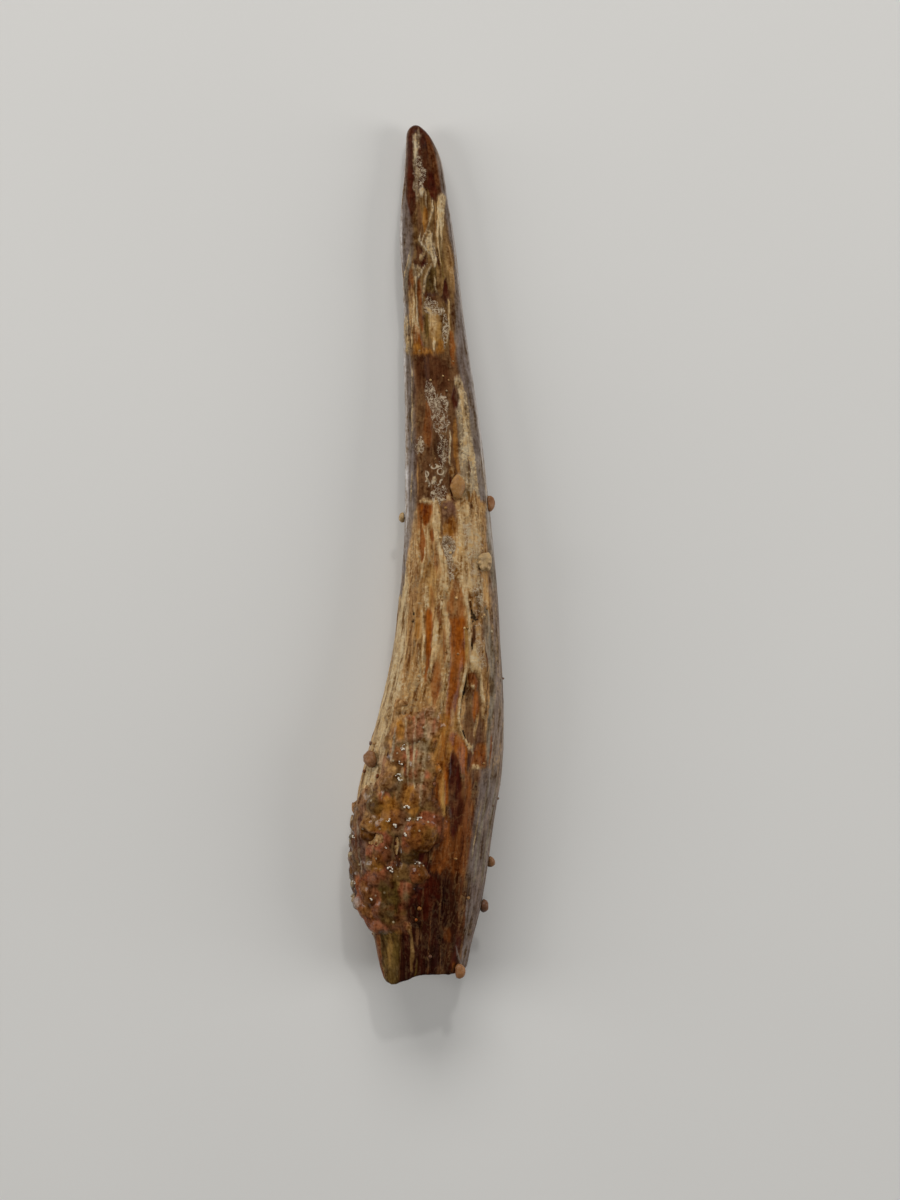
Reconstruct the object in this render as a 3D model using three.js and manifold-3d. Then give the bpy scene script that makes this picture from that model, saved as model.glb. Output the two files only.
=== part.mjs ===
// A pterosaur tooth lying on its side: a slender, gently recurved crown that widens into a broken root, and
// the sand that has cemented itself to it. Millimetres. +Y runs along the tooth to its tip, +X to the right of
// the upper face, and +Z up from the surface that the tooth lies on.

import * as THREE from "three";
import { mergeVertices } from "three/addons/utils/BufferGeometryUtils.js";
import Module from "manifold-3d";

const { clamp, degToRad, lerp, smoothstep } = THREE.MathUtils;

// ---- Driving dimensions -------------------------------------------------------------------------------------

const LENGTH = 50; // from the tip to the end of the root's lobe
const TIP_ROUND = 0.7; // radius of the worn tip
const APEX_X = -0.55; // the tip's own place across the tooth
const SECTION_POWER = 2.25; // 2 is an ellipse, more is squarer
const SIDES = 52; // columns of facets round the tooth
const TIP_RINGS = 4; // rings that round the tip
const BODY_RINGS = 50; // rings from the tip's rounding to the root's end
const END_RINGS = 4; // rings that close the broken end
const END_HOLLOW = 0.6; // how deep the broken end's middle lies
const WORN_FLAT = 0.15; // height of the underside's worn flats over the surface the tooth lies on
const SEAT_GAP = 0.03; // between the tooth and the sand on it
const CRUST_SHEET = 0.2; // the crust's thickness between its grains
const CRUST_DEPTH = 0.4; // how far the uncut crust reaches into the tooth

// Height of a smooth curve through [place, height] points, flat beyond its ends.
function curveThrough(points) {
  const places = points.map(([place]) => place);
  const heights = points.map(([, height]) => height);
  const curve = new THREE.CubicInterpolant(places, heights, 1, [0]);
  return (place) => curve.evaluate(clamp(place, places[0], places.at(-1)))[0];
}

// The outline seen from above, as X against the distance from the tip. Both edges bow to the right, and the
// root's left side flares and then breaks away in a step.
const leftEdge = curveThrough([
  [0, -1.12], [1.3, -1.15], [3.4, -1.25], [6.6, -1.4], [9.8, -1.28], [13.2, -1.3], [16.7, -1.1],
  [22.5, -1.15], [27.5, -1.52], [31.5, -2.0], [35, -2.85], [38.4, -3.86], [41.5, -4.24], [44.9, -4.1],
  [46.1, -3.75], [47.1, -3.1], [48.6, -2.78], [LENGTH, -2.6],
]);
const rightEdge = curveThrough([
  [0, -0.12], [0.6, 0.24], [1.7, 0.82], [2.4, 0.98], [3.4, 1.13], [7.2, 1.73], [13.2, 2.52], [20.2, 3.4],
  [27.1, 4.24], [31, 4.38], [34.5, 4.5], [37.3, 4.47], [41.5, 3.88], [46.2, 3.03], [48, 2.6],
  [LENGTH, 2.3],
]);

// The profile seen from the side: how thick the tooth is, and how high its underside hangs. Below the height
// of the worn flats it is cut off level, under the crown and again under the root.
const thickness = curveThrough([
  [0, 1.15], [3.4, 1.95], [6.6, 2.5], [13, 3.05], [20, 3.65], [27, 4.4], [33, 5.1], [38, 5.5], [42, 5.4],
  [46, 4.7], [LENGTH, 3.9],
]);
const underside = curveThrough([
  [0, 0.5], [4, 0.1], [8, -0.13], [13, -0.1], [20, 0.12], [28, 0.15], [34, 0], [38, -0.16], [44, -0.16],
  [47, 0.1], [LENGTH, 0.5],
]);

// How much of the root's end is missing, across the tooth from its left edge (-1) to its right (1). Only the
// lobe near the left edge has the full length.
const endLoss = curveThrough([[-1, 0.9], [-0.82, 0], [-0.6, 0.08], [-0.2, 0.52], [0, 0.62], [0.7, 0.62], [1, 0.85]]);

// The tooth touches the surface at three low spots of its underside, each with one flat facet: the facet's
// first ring, and its first column counted from the middle of the underside.
const LOW_SPOTS = [[10, 0], [38, -4], [38, 3]];

// ---- The tooth's surface ------------------------------------------------------------------------------------

// Centre and half sizes of the section at a distance from the tip.
function section(station) {
  const left = leftEdge(station);
  const right = rightEdge(station);
  const rounding = Math.sqrt(1 - (1 - Math.min(station / TIP_ROUND, 1)) ** 2);
  const halfHeight = thickness(station) / 2;
  return {
    x: lerp(APEX_X, (left + right) / 2, rounding),
    z: underside(station) + halfHeight,
    halfWidth: ((right - left) / 2) * rounding,
    halfHeight: halfHeight * rounding,
  };
}

// A signed power, which makes a circle's sine and cosine those of a rounder or squarer outline.
const powered = (value, power) => Math.sign(value) * Math.abs(value) ** power;

// 1 between two places and 0 outside them, with soft ends.
const between = (value, from, to, soft) =>
  smoothstep(value, from - soft, from + soft) * (1 - smoothstep(value, to - soft, to + soft));

// The left side of the window where the outer layer has flaked off the right of the upper face. It is a share
// of the half width, and the window's right side is straight.
const WINDOW = { from: 31.4, to: 37.3, right: 0.76, depth: 0.3 };
const windowLeft = curveThrough([[31.4, 0.5], [32.6, 0.32], [34.6, 0.24], [35.7, 0.3], [36.5, 0.46], [37.3, 0.52]]);

// The crack that runs down to the window, right of the tooth's middle.
const CRACK = { from: 26.6, to: 31.8, across: 0.4, width: 0.1, depth: 0.16 };

// How far the surface stands out of its plain section, in mm: flutes along the tooth, the worn middle of the
// crown, the raised lip on the crown's left, the flaked window and the crack.
function relief(station, angle, across) {
  const upper = smoothstep(Math.sin(angle), 0, 0.35);
  const flutes = 0.05 * Math.cos(10 * angle + 0.09 * station) * smoothstep(station, 3, 16);
  const swell = 0.07 * Math.sin(2 * angle + 0.42 * station) * smoothstep(station, 2, 9);
  const wear = 0.16 * upper * between(station, 3, 26, 2.5) * (1 - smoothstep(Math.abs(across), 0.35, 0.75));
  const lip = 0.14 * upper * between(station, 3.6, 9.6, 1) * smoothstep(-across, 0.45, 0.7);
  const flake = WINDOW.depth * upper * between(station, WINDOW.from, WINDOW.to, 0.35) *
    between(across, windowLeft(station), WINDOW.right, 0.06);
  const crack = CRACK.depth * upper * between(station, CRACK.from, CRACK.to, 0.8) *
    between(across, CRACK.across - CRACK.width, CRACK.across + CRACK.width, 0.05);
  return flutes + swell + lip - wear - flake - crack;
}

// 1 on the facets that the tooth stands on, falling to nearly nothing two facets away.
function standing(station, angle) {
  const ring = ((station - TIP_ROUND) / (LENGTH - TIP_ROUND)) * BODY_RINGS;
  const column = ((angle + Math.PI / 2) * SIDES) / (2 * Math.PI);
  const shares = LOW_SPOTS.map(([firstRing, firstColumn]) => {
    const along = Math.max(Math.abs(ring - firstRing - 0.5) - 0.501, 0);
    const round = Math.max(Math.abs(column - firstColumn - 0.5) - 0.501, 0);
    return Math.exp(-1.5 * (along ** 2 + round ** 2));
  });
  return Math.max(...shares);
}

// A point on the tooth's surface, grown outwards by some millimetres. Angle 0 is the right edge and a quarter
// turn is the middle of the upper face.
function surfacePoint(station, angle, grow) {
  const { x, z, halfWidth, halfHeight } = section(station);
  const across = powered(Math.cos(angle), 2 / SECTION_POWER);
  const upward = powered(Math.sin(angle), 2 / SECTION_POWER);
  const out = new THREE.Vector2(Math.cos(angle) * halfHeight, Math.sin(angle) * halfWidth).normalize();
  const rise = (relief(station, angle, across) + grow) * smoothstep(station, 0, TIP_ROUND);
  const lower = 1 - smoothstep(Math.sin(angle), -0.6, 0.2);
  const loss = smoothstep(station, 44, LENGTH) * (endLoss(across) + 0.45 * lower);
  const height = Math.max(z + upward * halfHeight + out.y * rise, WORN_FLAT - grow);
  return new THREE.Vector3(
    x + across * halfWidth + out.x * rise,
    -(station - loss) + grow * (station < TIP_ROUND ? 1 : 0),
    lerp(height, -grow, standing(station, angle)),
  );
}

// A point of the rough, hollowed face that closes the root. Share is 1 on its rim and 0 in its middle.
function brokenEndPoint(share, angle, grow) {
  const rim = surfacePoint(LENGTH, angle, grow);
  const middle = section(LENGTH);
  const x = lerp(middle.x + 0.4, rim.x, share);
  const z = lerp(middle.z + 0.3, rim.z, share);
  const rough = 0.2 * Math.sin(1.9 * x + 2.3) * Math.sin(2.3 * z + 0.8) * (1 - share ** 4);
  return new THREE.Vector3(x, lerp(-LENGTH + 0.6, rim.y, share) + END_HOLLOW * (1 - share ** 3) + rough, z);
}

// The point for one vertex of the unit sphere that the tooth is drawn out of, ring by ring from the tip.
function toothPoint(ring, angle, grow) {
  const endRing = TIP_RINGS + BODY_RINGS;
  if (ring > endRing) return brokenEndPoint(1 - (ring - endRing) / END_RINGS, angle, grow);
  const station = ring < TIP_RINGS
    ? TIP_ROUND * (1 - Math.cos(((ring / TIP_RINGS) * Math.PI) / 2))
    : lerp(TIP_ROUND, LENGTH, (ring - TIP_RINGS) / BODY_RINGS);
  return surfacePoint(station, angle, grow);
}

// A geometry's vertices shared, so that it is one closed mesh.
function welded(geometry) {
  geometry.deleteAttribute("normal");
  geometry.deleteAttribute("uv");
  return mergeVertices(geometry, 1e-4);
}

function toothGeometry(grow) {
  const rings = TIP_RINGS + BODY_RINGS + END_RINGS;
  const geometry = welded(new THREE.SphereGeometry(1, SIDES, rings));
  const position = geometry.getAttribute("position");
  for (let i = 0; i < position.count; i++) {
    const unit = new THREE.Vector3().fromBufferAttribute(position, i);
    const ring = Math.round((Math.acos(clamp(unit.y, -1, 1)) / Math.PI) * rings);
    position.setXYZ(i, ...toothPoint(ring, Math.atan2(unit.z, unit.x), grow));
  }
  return geometry;
}

// ---- Solids -------------------------------------------------------------------------------------------------

const wasm = await Module();
wasm.setup();

function solidOf(geometry) {
  return new wasm.Manifold(new wasm.Mesh({
    numProp: 3,
    vertProperties: geometry.getAttribute("position").array,
    triVerts: new Uint32Array(geometry.index.array),
  }));
}

function geometryOf(solid) {
  const { vertProperties, triVerts } = solid.getMesh();
  const geometry = new THREE.BufferGeometry();
  geometry.setAttribute("position", new THREE.BufferAttribute(vertProperties, 3));
  geometry.setIndex(new THREE.BufferAttribute(triVerts, 1));
  geometry.computeVertexNormals();
  return geometry;
}

const tooth = toothGeometry(0);
const seat = solidOf(toothGeometry(SEAT_GAP)); // what is cut out of the sand, so that it sits on the tooth

// One rounded, slightly uneven grain of sand, sunk into the tooth's surface by a share of its height.
function grainSolid({ station, angle, size, sunk = 0.25, detail = 1 }) {
  const [across, along, high] = size;
  const geometry = welded(new THREE.IcosahedronGeometry(1, detail));
  const position = geometry.getAttribute("position");
  const turn = degToRad(angle);
  const place = surfacePoint(station, turn, high * (0.5 - sunk));
  const frame = new THREE.Matrix4().makeRotationY(Math.PI / 2 - turn);
  for (let i = 0; i < position.count; i++) {
    const unit = new THREE.Vector3().fromBufferAttribute(position, i);
    const uneven = 1 + 0.16 * Math.sin(3.1 * unit.x + 2.3 * station) * Math.cos(2.7 * unit.y + angle);
    unit.multiply(new THREE.Vector3(across / 2, along / 2, high / 2)).multiplyScalar(uneven);
    unit.applyMatrix4(frame).add(place);
    position.setXYZ(i, unit.x, unit.y, unit.z);
  }
  return solidOf(geometry).subtract(seat);
}

// ---- The crust of sand on the left of the root --------------------------------------------------------------

// Its larger grains: distance from the tip, angle round the tooth, and width.
const CRUST_GRAINS = [
  [34.1, 104, 0.9], [35.3, 112, 1.2], [35.9, 98, 1.0], [36.8, 118, 1.0], [37.6, 105, 1.3], [38.2, 122, 1.1],
  [38.9, 96, 1.2], [39.4, 133, 1.2], [40.1, 112, 1.1], [41.1, 91, 2.0], [40.9, 141, 1.3], [42.1, 100, 1.3],
  [42.2, 122, 1.1], [43.3, 90, 1.1], [43.2, 107, 1.2], [43.7, 128, 1.2], [44.5, 141, 1.4], [45.4, 152, 1.2],
  [45.6, 130, 1.0], [46.4, 140, 0.9], [39.6, 176, 0.9], [40.6, 184, 1.0], [41.6, 178, 1.1], [42.5, 184, 1.1],
  [43.4, 178, 0.9], [44.3, 180, 0.7], [45.2, 168, 1.1],
];

// The patch that it may cover, and the grid that draws it.
const CRUST_PATCH = { from: 33, to: 47.4, fromAngle: 78, toAngle: 200, along: 42, around: 36 };

// How far the cemented sand lies inside a ragged outline: above 0 inside it, and below 0 outside.
function crustSpread(station, angle) {
  const middle = lerp(108, 140, smoothstep(station, 37, 43));
  const reach = 16 + 38 * smoothstep(station, 37.5, 40.5) * (1 - 0.55 * smoothstep(station, 43.5, 46));
  const ragged = 6 * Math.sin(2.1 * station + 0.05 * angle) + 5 * Math.sin(4.3 * station + 0.11 * angle);
  const sides = 1 - Math.abs(angle - middle) / (reach + ragged);
  const ends = Math.min(station - CRUST_PATCH.from - 0.5, CRUST_PATCH.to - 0.5 - station);
  return Math.min(sides * 2, ends);
}

// Height of the crust over the tooth: a thin uneven sheet, with the larger grains standing in it.
function crustHeight(station, angle) {
  const place = surfacePoint(station, degToRad(angle), 0);
  const uneven = 0.08 * Math.sin(3.7 * station + 0.3 * angle) * Math.sin(0.21 * angle - 2.3 * station);
  let height = (CRUST_SHEET + uneven) * clamp(crustSpread(station, angle) * 3, -1, 1);
  for (const [grainStation, grainAngle, width] of CRUST_GRAINS) {
    const grain = surfacePoint(grainStation, degToRad(grainAngle), 0);
    const level = (width / 2) ** 2 - grain.distanceToSquared(place);
    if (level > 0) height = Math.max(height, Math.sqrt(level) * 0.85);
  }
  return height;
}

// A closed slab over the patch: its outer face is the crust's, and its inner one lies under the tooth's surface.
function crustSolid() {
  const { from, to, fromAngle, toAngle, along, around } = CRUST_PATCH;
  const geometry = welded(new THREE.BoxGeometry(1, 1, 1, around, along, 1));
  const position = geometry.getAttribute("position");
  for (let i = 0; i < position.count; i++) {
    const station = lerp(from, to, 0.5 - position.getY(i));
    const angle = lerp(toAngle, fromAngle, position.getX(i) + 0.5);
    const height = position.getZ(i) > 0 ? crustHeight(station, angle) : -CRUST_DEPTH;
    position.setXYZ(i, ...surfacePoint(station, degToRad(angle), height));
  }
  const pieces = solidOf(geometry).subtract(seat).decompose();
  return pieces.reduce((largest, piece) => (piece.volume() > largest.volume() ? piece : largest));
}

// ---- Single grains ------------------------------------------------------------------------------------------

// Size is across, along and high. The first is the flat oval grain on the upper face, and the second the pale
// cupped one near the right edge.
const SINGLE_GRAINS = {
  oval_sand_grain: { station: 21.2, angle: 75, size: [0.85, 1.45, 0.5] },
  cupped_sand_grain: { station: 25.5, angle: 44, size: [1.15, 1.25, 0.6] },
  right_crown_sand_grain: { station: 22.1, angle: 6, size: [0.7, 1.05, 0.62] },
  left_crown_sand_grain: { station: 22.9, angle: 172, size: [0.5, 0.6, 0.5] },
  left_root_sand_grain: { station: 36.8, angle: 150, size: [0.95, 1.05, 0.8] },
  right_root_sand_grain: { station: 42.8, angle: 4, size: [0.6, 0.72, 0.6] },
  lower_right_sand_grain: { station: 45.5, angle: 6, size: [0.62, 0.75, 0.68] },
  root_end_sand_grain: { station: 49.7, angle: 38, size: [0.7, 1.0, 0.7] },
};

// ---- The finished group -------------------------------------------------------------------------------------

const enamel = new THREE.MeshStandardMaterial({ color: 0x5c3418, roughness: 0.42, metalness: 0 });
const crustSand = new THREE.MeshStandardMaterial({ color: 0x6e3a16, roughness: 0.3, metalness: 0 });
const grainSand = new THREE.MeshStandardMaterial({ color: 0x8c6240, roughness: 0.6, metalness: 0 });

function namedMesh(name, geometry, material) {
  const mesh = new THREE.Mesh(geometry, material);
  mesh.name = name;
  return mesh;
}

const fossil = new THREE.Group();
fossil.add(namedMesh("tooth", tooth, enamel));
fossil.add(namedMesh("sand_crust", geometryOf(crustSolid()), crustSand));
for (const [name, grain] of Object.entries(SINGLE_GRAINS)) {
  fossil.add(namedMesh(name, geometryOf(grainSolid(grain)), grainSand));
}

// The origin goes under the middle of the whole piece, on the surface it lies on.
const box = new THREE.Box3().setFromObject(fossil);
const middle = box.getCenter(new THREE.Vector3());
fossil.position.set(-middle.x, -middle.y, -box.min.z);

export default fossil;
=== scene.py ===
"""A pterosaur tooth with sand cemented to it, dressed for looking at on a plain pale floor.

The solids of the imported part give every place. The tooth is drawn from its own solid, divided finely,
roughened along its strands and stained; the crust is drawn from the tooth's skin; the grains are drawn from
their own solids. Lengths are in millimetres until a mesh is written, and metres in Blender.
"""

import logging
import math
from collections.abc import Iterator
from contextlib import contextmanager
from dataclasses import dataclass, field
from enum import Enum

import bpy
import numpy as np
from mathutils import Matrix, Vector
from mathutils.kdtree import KDTree


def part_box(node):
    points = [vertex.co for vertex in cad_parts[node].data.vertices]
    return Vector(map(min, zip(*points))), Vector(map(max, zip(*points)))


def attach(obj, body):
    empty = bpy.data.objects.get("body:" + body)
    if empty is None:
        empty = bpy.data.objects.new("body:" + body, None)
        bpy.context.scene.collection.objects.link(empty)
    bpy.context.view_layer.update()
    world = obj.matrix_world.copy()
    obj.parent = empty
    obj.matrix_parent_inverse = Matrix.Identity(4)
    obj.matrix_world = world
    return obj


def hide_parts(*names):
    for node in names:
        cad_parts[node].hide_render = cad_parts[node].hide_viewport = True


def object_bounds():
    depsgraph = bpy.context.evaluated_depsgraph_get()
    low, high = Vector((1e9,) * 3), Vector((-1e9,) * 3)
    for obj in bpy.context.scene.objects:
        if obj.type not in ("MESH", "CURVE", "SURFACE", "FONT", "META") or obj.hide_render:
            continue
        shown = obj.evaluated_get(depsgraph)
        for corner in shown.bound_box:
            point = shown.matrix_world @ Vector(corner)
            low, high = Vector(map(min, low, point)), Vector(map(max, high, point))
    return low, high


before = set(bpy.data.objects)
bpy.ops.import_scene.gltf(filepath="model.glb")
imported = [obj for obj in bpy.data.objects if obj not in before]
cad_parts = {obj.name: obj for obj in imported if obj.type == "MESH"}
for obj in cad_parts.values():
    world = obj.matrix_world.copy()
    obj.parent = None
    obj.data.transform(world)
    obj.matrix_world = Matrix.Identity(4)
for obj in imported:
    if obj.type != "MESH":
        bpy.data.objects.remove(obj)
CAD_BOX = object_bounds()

log = logging.getLogger("tooth")

MM = 0.001
TIP_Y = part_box("tooth")[1].y / MM


# ---- Stains and marks ----


class Layer(Enum):
    """The masks that the marks leave on the tooth for its finish to read."""

    PALE = "pale"
    LACE = "lace"
    RINGS = "rings"
    PIT = "pit"
    FIBRE = "fibre"
    POLISH = "polish"
    WORN = "worn"


@dataclass(frozen=True)
class Tone:
    """How a stain looks on the tooth.

    Attributes:
        colour: Red, green and blue, in 0 to 255.
        pale: How chalky it is.
        fibrous: How much the strands show in it.
        stands: How far it stands out of the tooth, in mm.
        wear: How worn it is, and how much sand clings to it.
        pattern: The mask that it fills, if it is a pattern.
    """

    colour: tuple[int, int, int]
    pale: float = 0.0
    fibrous: float = 0.45
    stands: float = 0.0
    wear: float = 0.35
    pattern: Layer | None = None


class Stain(Enum):
    """The fossil's stains, as a restorer would mix them. Some paint light instead: the sheen is a painted
    reflection along the edges, the rim a painted highlight along them and also one pale grain's colour, and
    the glass painted glints; the pit is the near-black laid into pits and cracks.
    """

    ENAMEL = Tone((62, 28, 10), fibrous=0.12, wear=0.05)
    OCHRE = Tone((102, 72, 36), fibrous=0.4, wear=0.3)
    UMBER = Tone((70, 36, 14), fibrous=0.75, wear=0.0)
    DUST = Tone((138, 118, 88), pale=0.5, stands=0.02, wear=0.8)
    TAN = Tone((140, 100, 54), pale=0.2, fibrous=0.8, wear=0.7)
    FIBRE = Tone((150, 124, 86), pale=0.35, fibrous=1.0, stands=0.03, wear=0.45)
    BARK = Tone((88, 56, 30), fibrous=0.4, wear=0.1)
    MAROON = Tone((60, 16, 5), fibrous=0.15, stands=-0.04, wear=0.0)
    CHALK = Tone((176, 160, 130), pale=0.9, stands=0.05, wear=0.6)
    GOLD = Tone((148, 106, 50), fibrous=0.3, stands=-0.02)
    HONEY = Tone((132, 82, 26), fibrous=0.4, stands=-0.04, wear=0.3)
    OLIVE = Tone((82, 58, 20), fibrous=0.35, wear=0.1)
    AMBER = Tone((126, 62, 8), fibrous=0.3, stands=-0.05, wear=0.05)
    PLUM = Tone((92, 60, 42), fibrous=0.2, wear=0.25)
    CREAM = Tone((180, 146, 96), pale=0.7, stands=0.05, wear=0.7)
    RUST = Tone((112, 58, 18), fibrous=0.4, stands=-0.04, wear=0.1)
    BRICK = Tone((134, 72, 40))
    SLATE = Tone((104, 90, 70), fibrous=0.6, wear=0.1)
    DEEP = Tone((36, 11, 4), fibrous=0.3, stands=-0.02, wear=0.0)
    MOSS = Tone((66, 46, 14), wear=0.1)
    # Painted sheen: the grey reflection of the surroundings on glossy enamel, laid in as colour.
    PAINTED_SHEEN = Tone((98, 84, 72), fibrous=0.22, wear=0.0)
    WINE = Tone((52, 16, 7), fibrous=0.35, wear=0.0)
    FAWN = Tone((116, 78, 46))
    # Pale: painted as a highlight along the crown's edges, and the own colour of one pale grain in the crust.
    PAINTED_RIM_AND_PALE_GRAIN = Tone((178, 166, 150))
    # Near-white, for the beads that paint glints on the crust.
    PAINTED_GLINT = Tone((216, 208, 192))
    LACE = Tone((158, 144, 122), pattern=Layer.LACE)
    RINGS = Tone((186, 170, 144), pattern=Layer.RINGS)
    PIT = Tone((18, 8, 5), pattern=Layer.PIT)

    def linear(self) -> np.ndarray:
        """The colour in linear light, as three numbers."""
        return to_linear(np.array(self.value.colour))


def to_linear(colour: np.ndarray) -> np.ndarray:
    """Turns display colour in 0 to 255 into linear light in 0 to 1."""
    share = np.asarray(colour, float) / 255.0
    return np.where(share <= 0.04045, share / 12.92, ((share + 0.055) / 1.055) ** 2.4)


def ease(value: np.ndarray, low: float | np.ndarray, high: float | np.ndarray) -> np.ndarray:
    """A smooth step, which leaves 0 at low and reaches 1 at high."""
    share = np.clip((value - low) / (high - low), 0.0, 1.0)
    return share * share * (3.0 - 2.0 * share)


def lay(under: np.ndarray, over: np.ndarray, share: np.ndarray) -> np.ndarray:
    """Colours with others laid over them, each point by its own share."""
    return under + (over - under) * share[:, None]


@dataclass(frozen=True)
class Mark:
    """One stain or flake on the upper face, drawn along the tooth.

    Attributes:
        stain: Its colour or pattern.
        rows: Distance from the tip, X, and half width, all in mm, from the tip's end on.
        ragged: How far its edge strays, in mm.
        strength: How much of it shows.
        relief: How far it stands out, in mm.
        gloss: How much it is polished.
    """

    stain: Stain
    rows: tuple[tuple[float, float, float], ...]
    ragged: float = 0.05
    strength: float = 1.0
    relief: float = 0.0
    gloss: float = 0.0

    @classmethod
    def spot(
        cls, stain: Stain, station: float, x: float, half: float, length: float, lean: float = 0.0,
        ragged: float = 0.05, relief: float = 0.0, strength: float = 1.0,
    ) -> "Mark":
        """A short patch, widest in its middle.

        Args:
            stain: Its colour or pattern.
            station: Its middle's distance from the tip, in mm.
            x: Its middle's X, in mm.
            half: Its half width, in mm.
            length: Its length, in mm.
            lean: How much further to the right its lower end is than its upper end, in mm.
            ragged, relief, strength: As for any mark.

        Returns:
            The mark.
        """
        rows = tuple((station + along * length, x + along * lean, half * width)
                     for along, width in ((-0.5, 0.5), (0.0, 1.0), (0.5, 0.5)))
        return cls(stain, rows, ragged, strength, relief)

    @classmethod
    def thread(
        cls, stain: Stain, half: float, spots: tuple[tuple[float, float], ...], ragged: float = 0.03,
        relief: float = 0.03, strength: float = 1.0,
    ) -> "Mark":
        """A thin line that tapers at both ends.

        Args:
            stain: Its colour.
            half: Its half width, in mm.
            spots: Distance from the tip and X of its points, in mm.
            ragged, relief, strength: As for any mark.

        Returns:
            The mark.
        """
        last = len(spots) - 1
        widths = (half * (0.5 if number in (0, last) else 1.0) for number in range(len(spots)))
        rows = sorted((*spot, width) for spot, width in zip(spots, widths))
        return cls(stain, tuple(rows), ragged, strength, relief)

    def cover(self, chart: "Chart") -> np.ndarray:
        """How much of the mark lies on each point.

        Args:
            chart: The points.

        Returns:
            A share in 0 to 1 for each point.
        """
        rows = np.array(self.rows)
        # The edge strays three times as far along the strands as across them.
        station = chart.station + 3.0 * self.ragged * chart.fray
        across = chart.x + 0.9 * self.ragged * chart.stray + 0.05 * chart.jag
        middle = np.interp(station, rows[:, 0], rows[:, 1])
        half = np.interp(station, rows[:, 0], rows[:, 2])
        # Its edge and ends are soft, and it wears thin in places.
        soft = np.clip(0.3 * half, 0.03, 0.13)
        inside = ease(half - np.abs(across - middle), -soft, soft)
        ends = ease(np.minimum(station - rows[0, 0], rows[-1, 0] - station), -0.16, 0.1)
        thin = np.clip(0.94 + 0.5 * chart.thin, 0.35, 1.0)
        return inside * ends * thin * chart.upper * min(self.strength, 1.0)


# The broad grounds, from the tip to the broken end.
GROUND_MARKS: tuple[Mark, ...] = (
    Mark(Stain.ENAMEL, ((-0.2, -0.53, 0.35), (0.8, -0.3, 0.69), (5.4, 0.05, 1.16)), ragged=0.03),
    Mark(Stain.OCHRE, ((4, 0.16, 0.46), (5.1, 0.22, 0.87), (8.2, 0.51, 1.27), (10.6, 0.51, 1.5)),
         ragged=0.15),
    Mark(Stain.OCHRE, ((9.9, 0.57, 1.27), (12.9, 0.51, 1.45), (13.6, 0.45, 1.27)), ragged=0.12),
    Mark(Stain.BARK, ((13.2, 0.45, 1.16), (22.4, 0.57, 0.87)), ragged=0.1),
    Mark(Stain.DUST, ((14.9, 1.9, 0.17), (16.1, 2.24, 0.4), (17.9, 2.53, 0.58), (22.4, 2.88, 0.92)),
         ragged=0.15),
    Mark(Stain.TAN, ((21.7, 2.76, 0.92), (22.4, 1.43, 2.08), (27.7, 1.32, 2.54), (33.5, 0.97, 2.89),
         (35.5, 0.68, 3.01), (36.9, 0.34, 3.01)), ragged=0.2),
    Mark(Stain.TAN, ((24.5, -1.23, 0.17), (26, -0.94, 0.58), (28.3, -0.88, 0.81), (31.2, -0.99, 1.16),
         (33.5, -1.28, 1.27), (38.7, -2.44, 1.5), (41, -2.79, 1.5), (43.3, -3.02, 1.39)), ragged=0.2),
    Mark(Stain.FIBRE, ((25, -1.05, 0.12), (29, -1.28, 0.32), (31, -1.5, 0.42), (35, -2.3, 0.5),
         (39.5, -3.5, 0.4), (40.6, -3.8, 0.3)), ragged=0.12),
    Mark(Stain.UMBER, ((35.9, 2.18, 0.81), (37.5, 1.95, 1.39), (39.8, 1.84, 1.62), (42.1, 1.38, 2.2),
         (44.5, 0.57, 3.01), (47.3, -0.01, 2.89), (50.2, -0.01, 2.54)), ragged=0.15),
    Mark(Stain.WINE, ((42.6, 1.2, 0.8), (43.6, 0.9, 1.8), (45, 0.5, 2.4), (47.3, 0, 2.6), (50.2, 0, 2.5)),
         ragged=0.15),
    Mark(Stain.UMBER, ((37.1, 3.11, 0.52), (39.2, 2.88, 0.81), (41.6, 2.65, 0.87), (43.9, 2.3, 0.92),
         (46.2, 2.07, 0.81), (49.1, 1.61, 0.58)), ragged=0.12),
)

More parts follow.
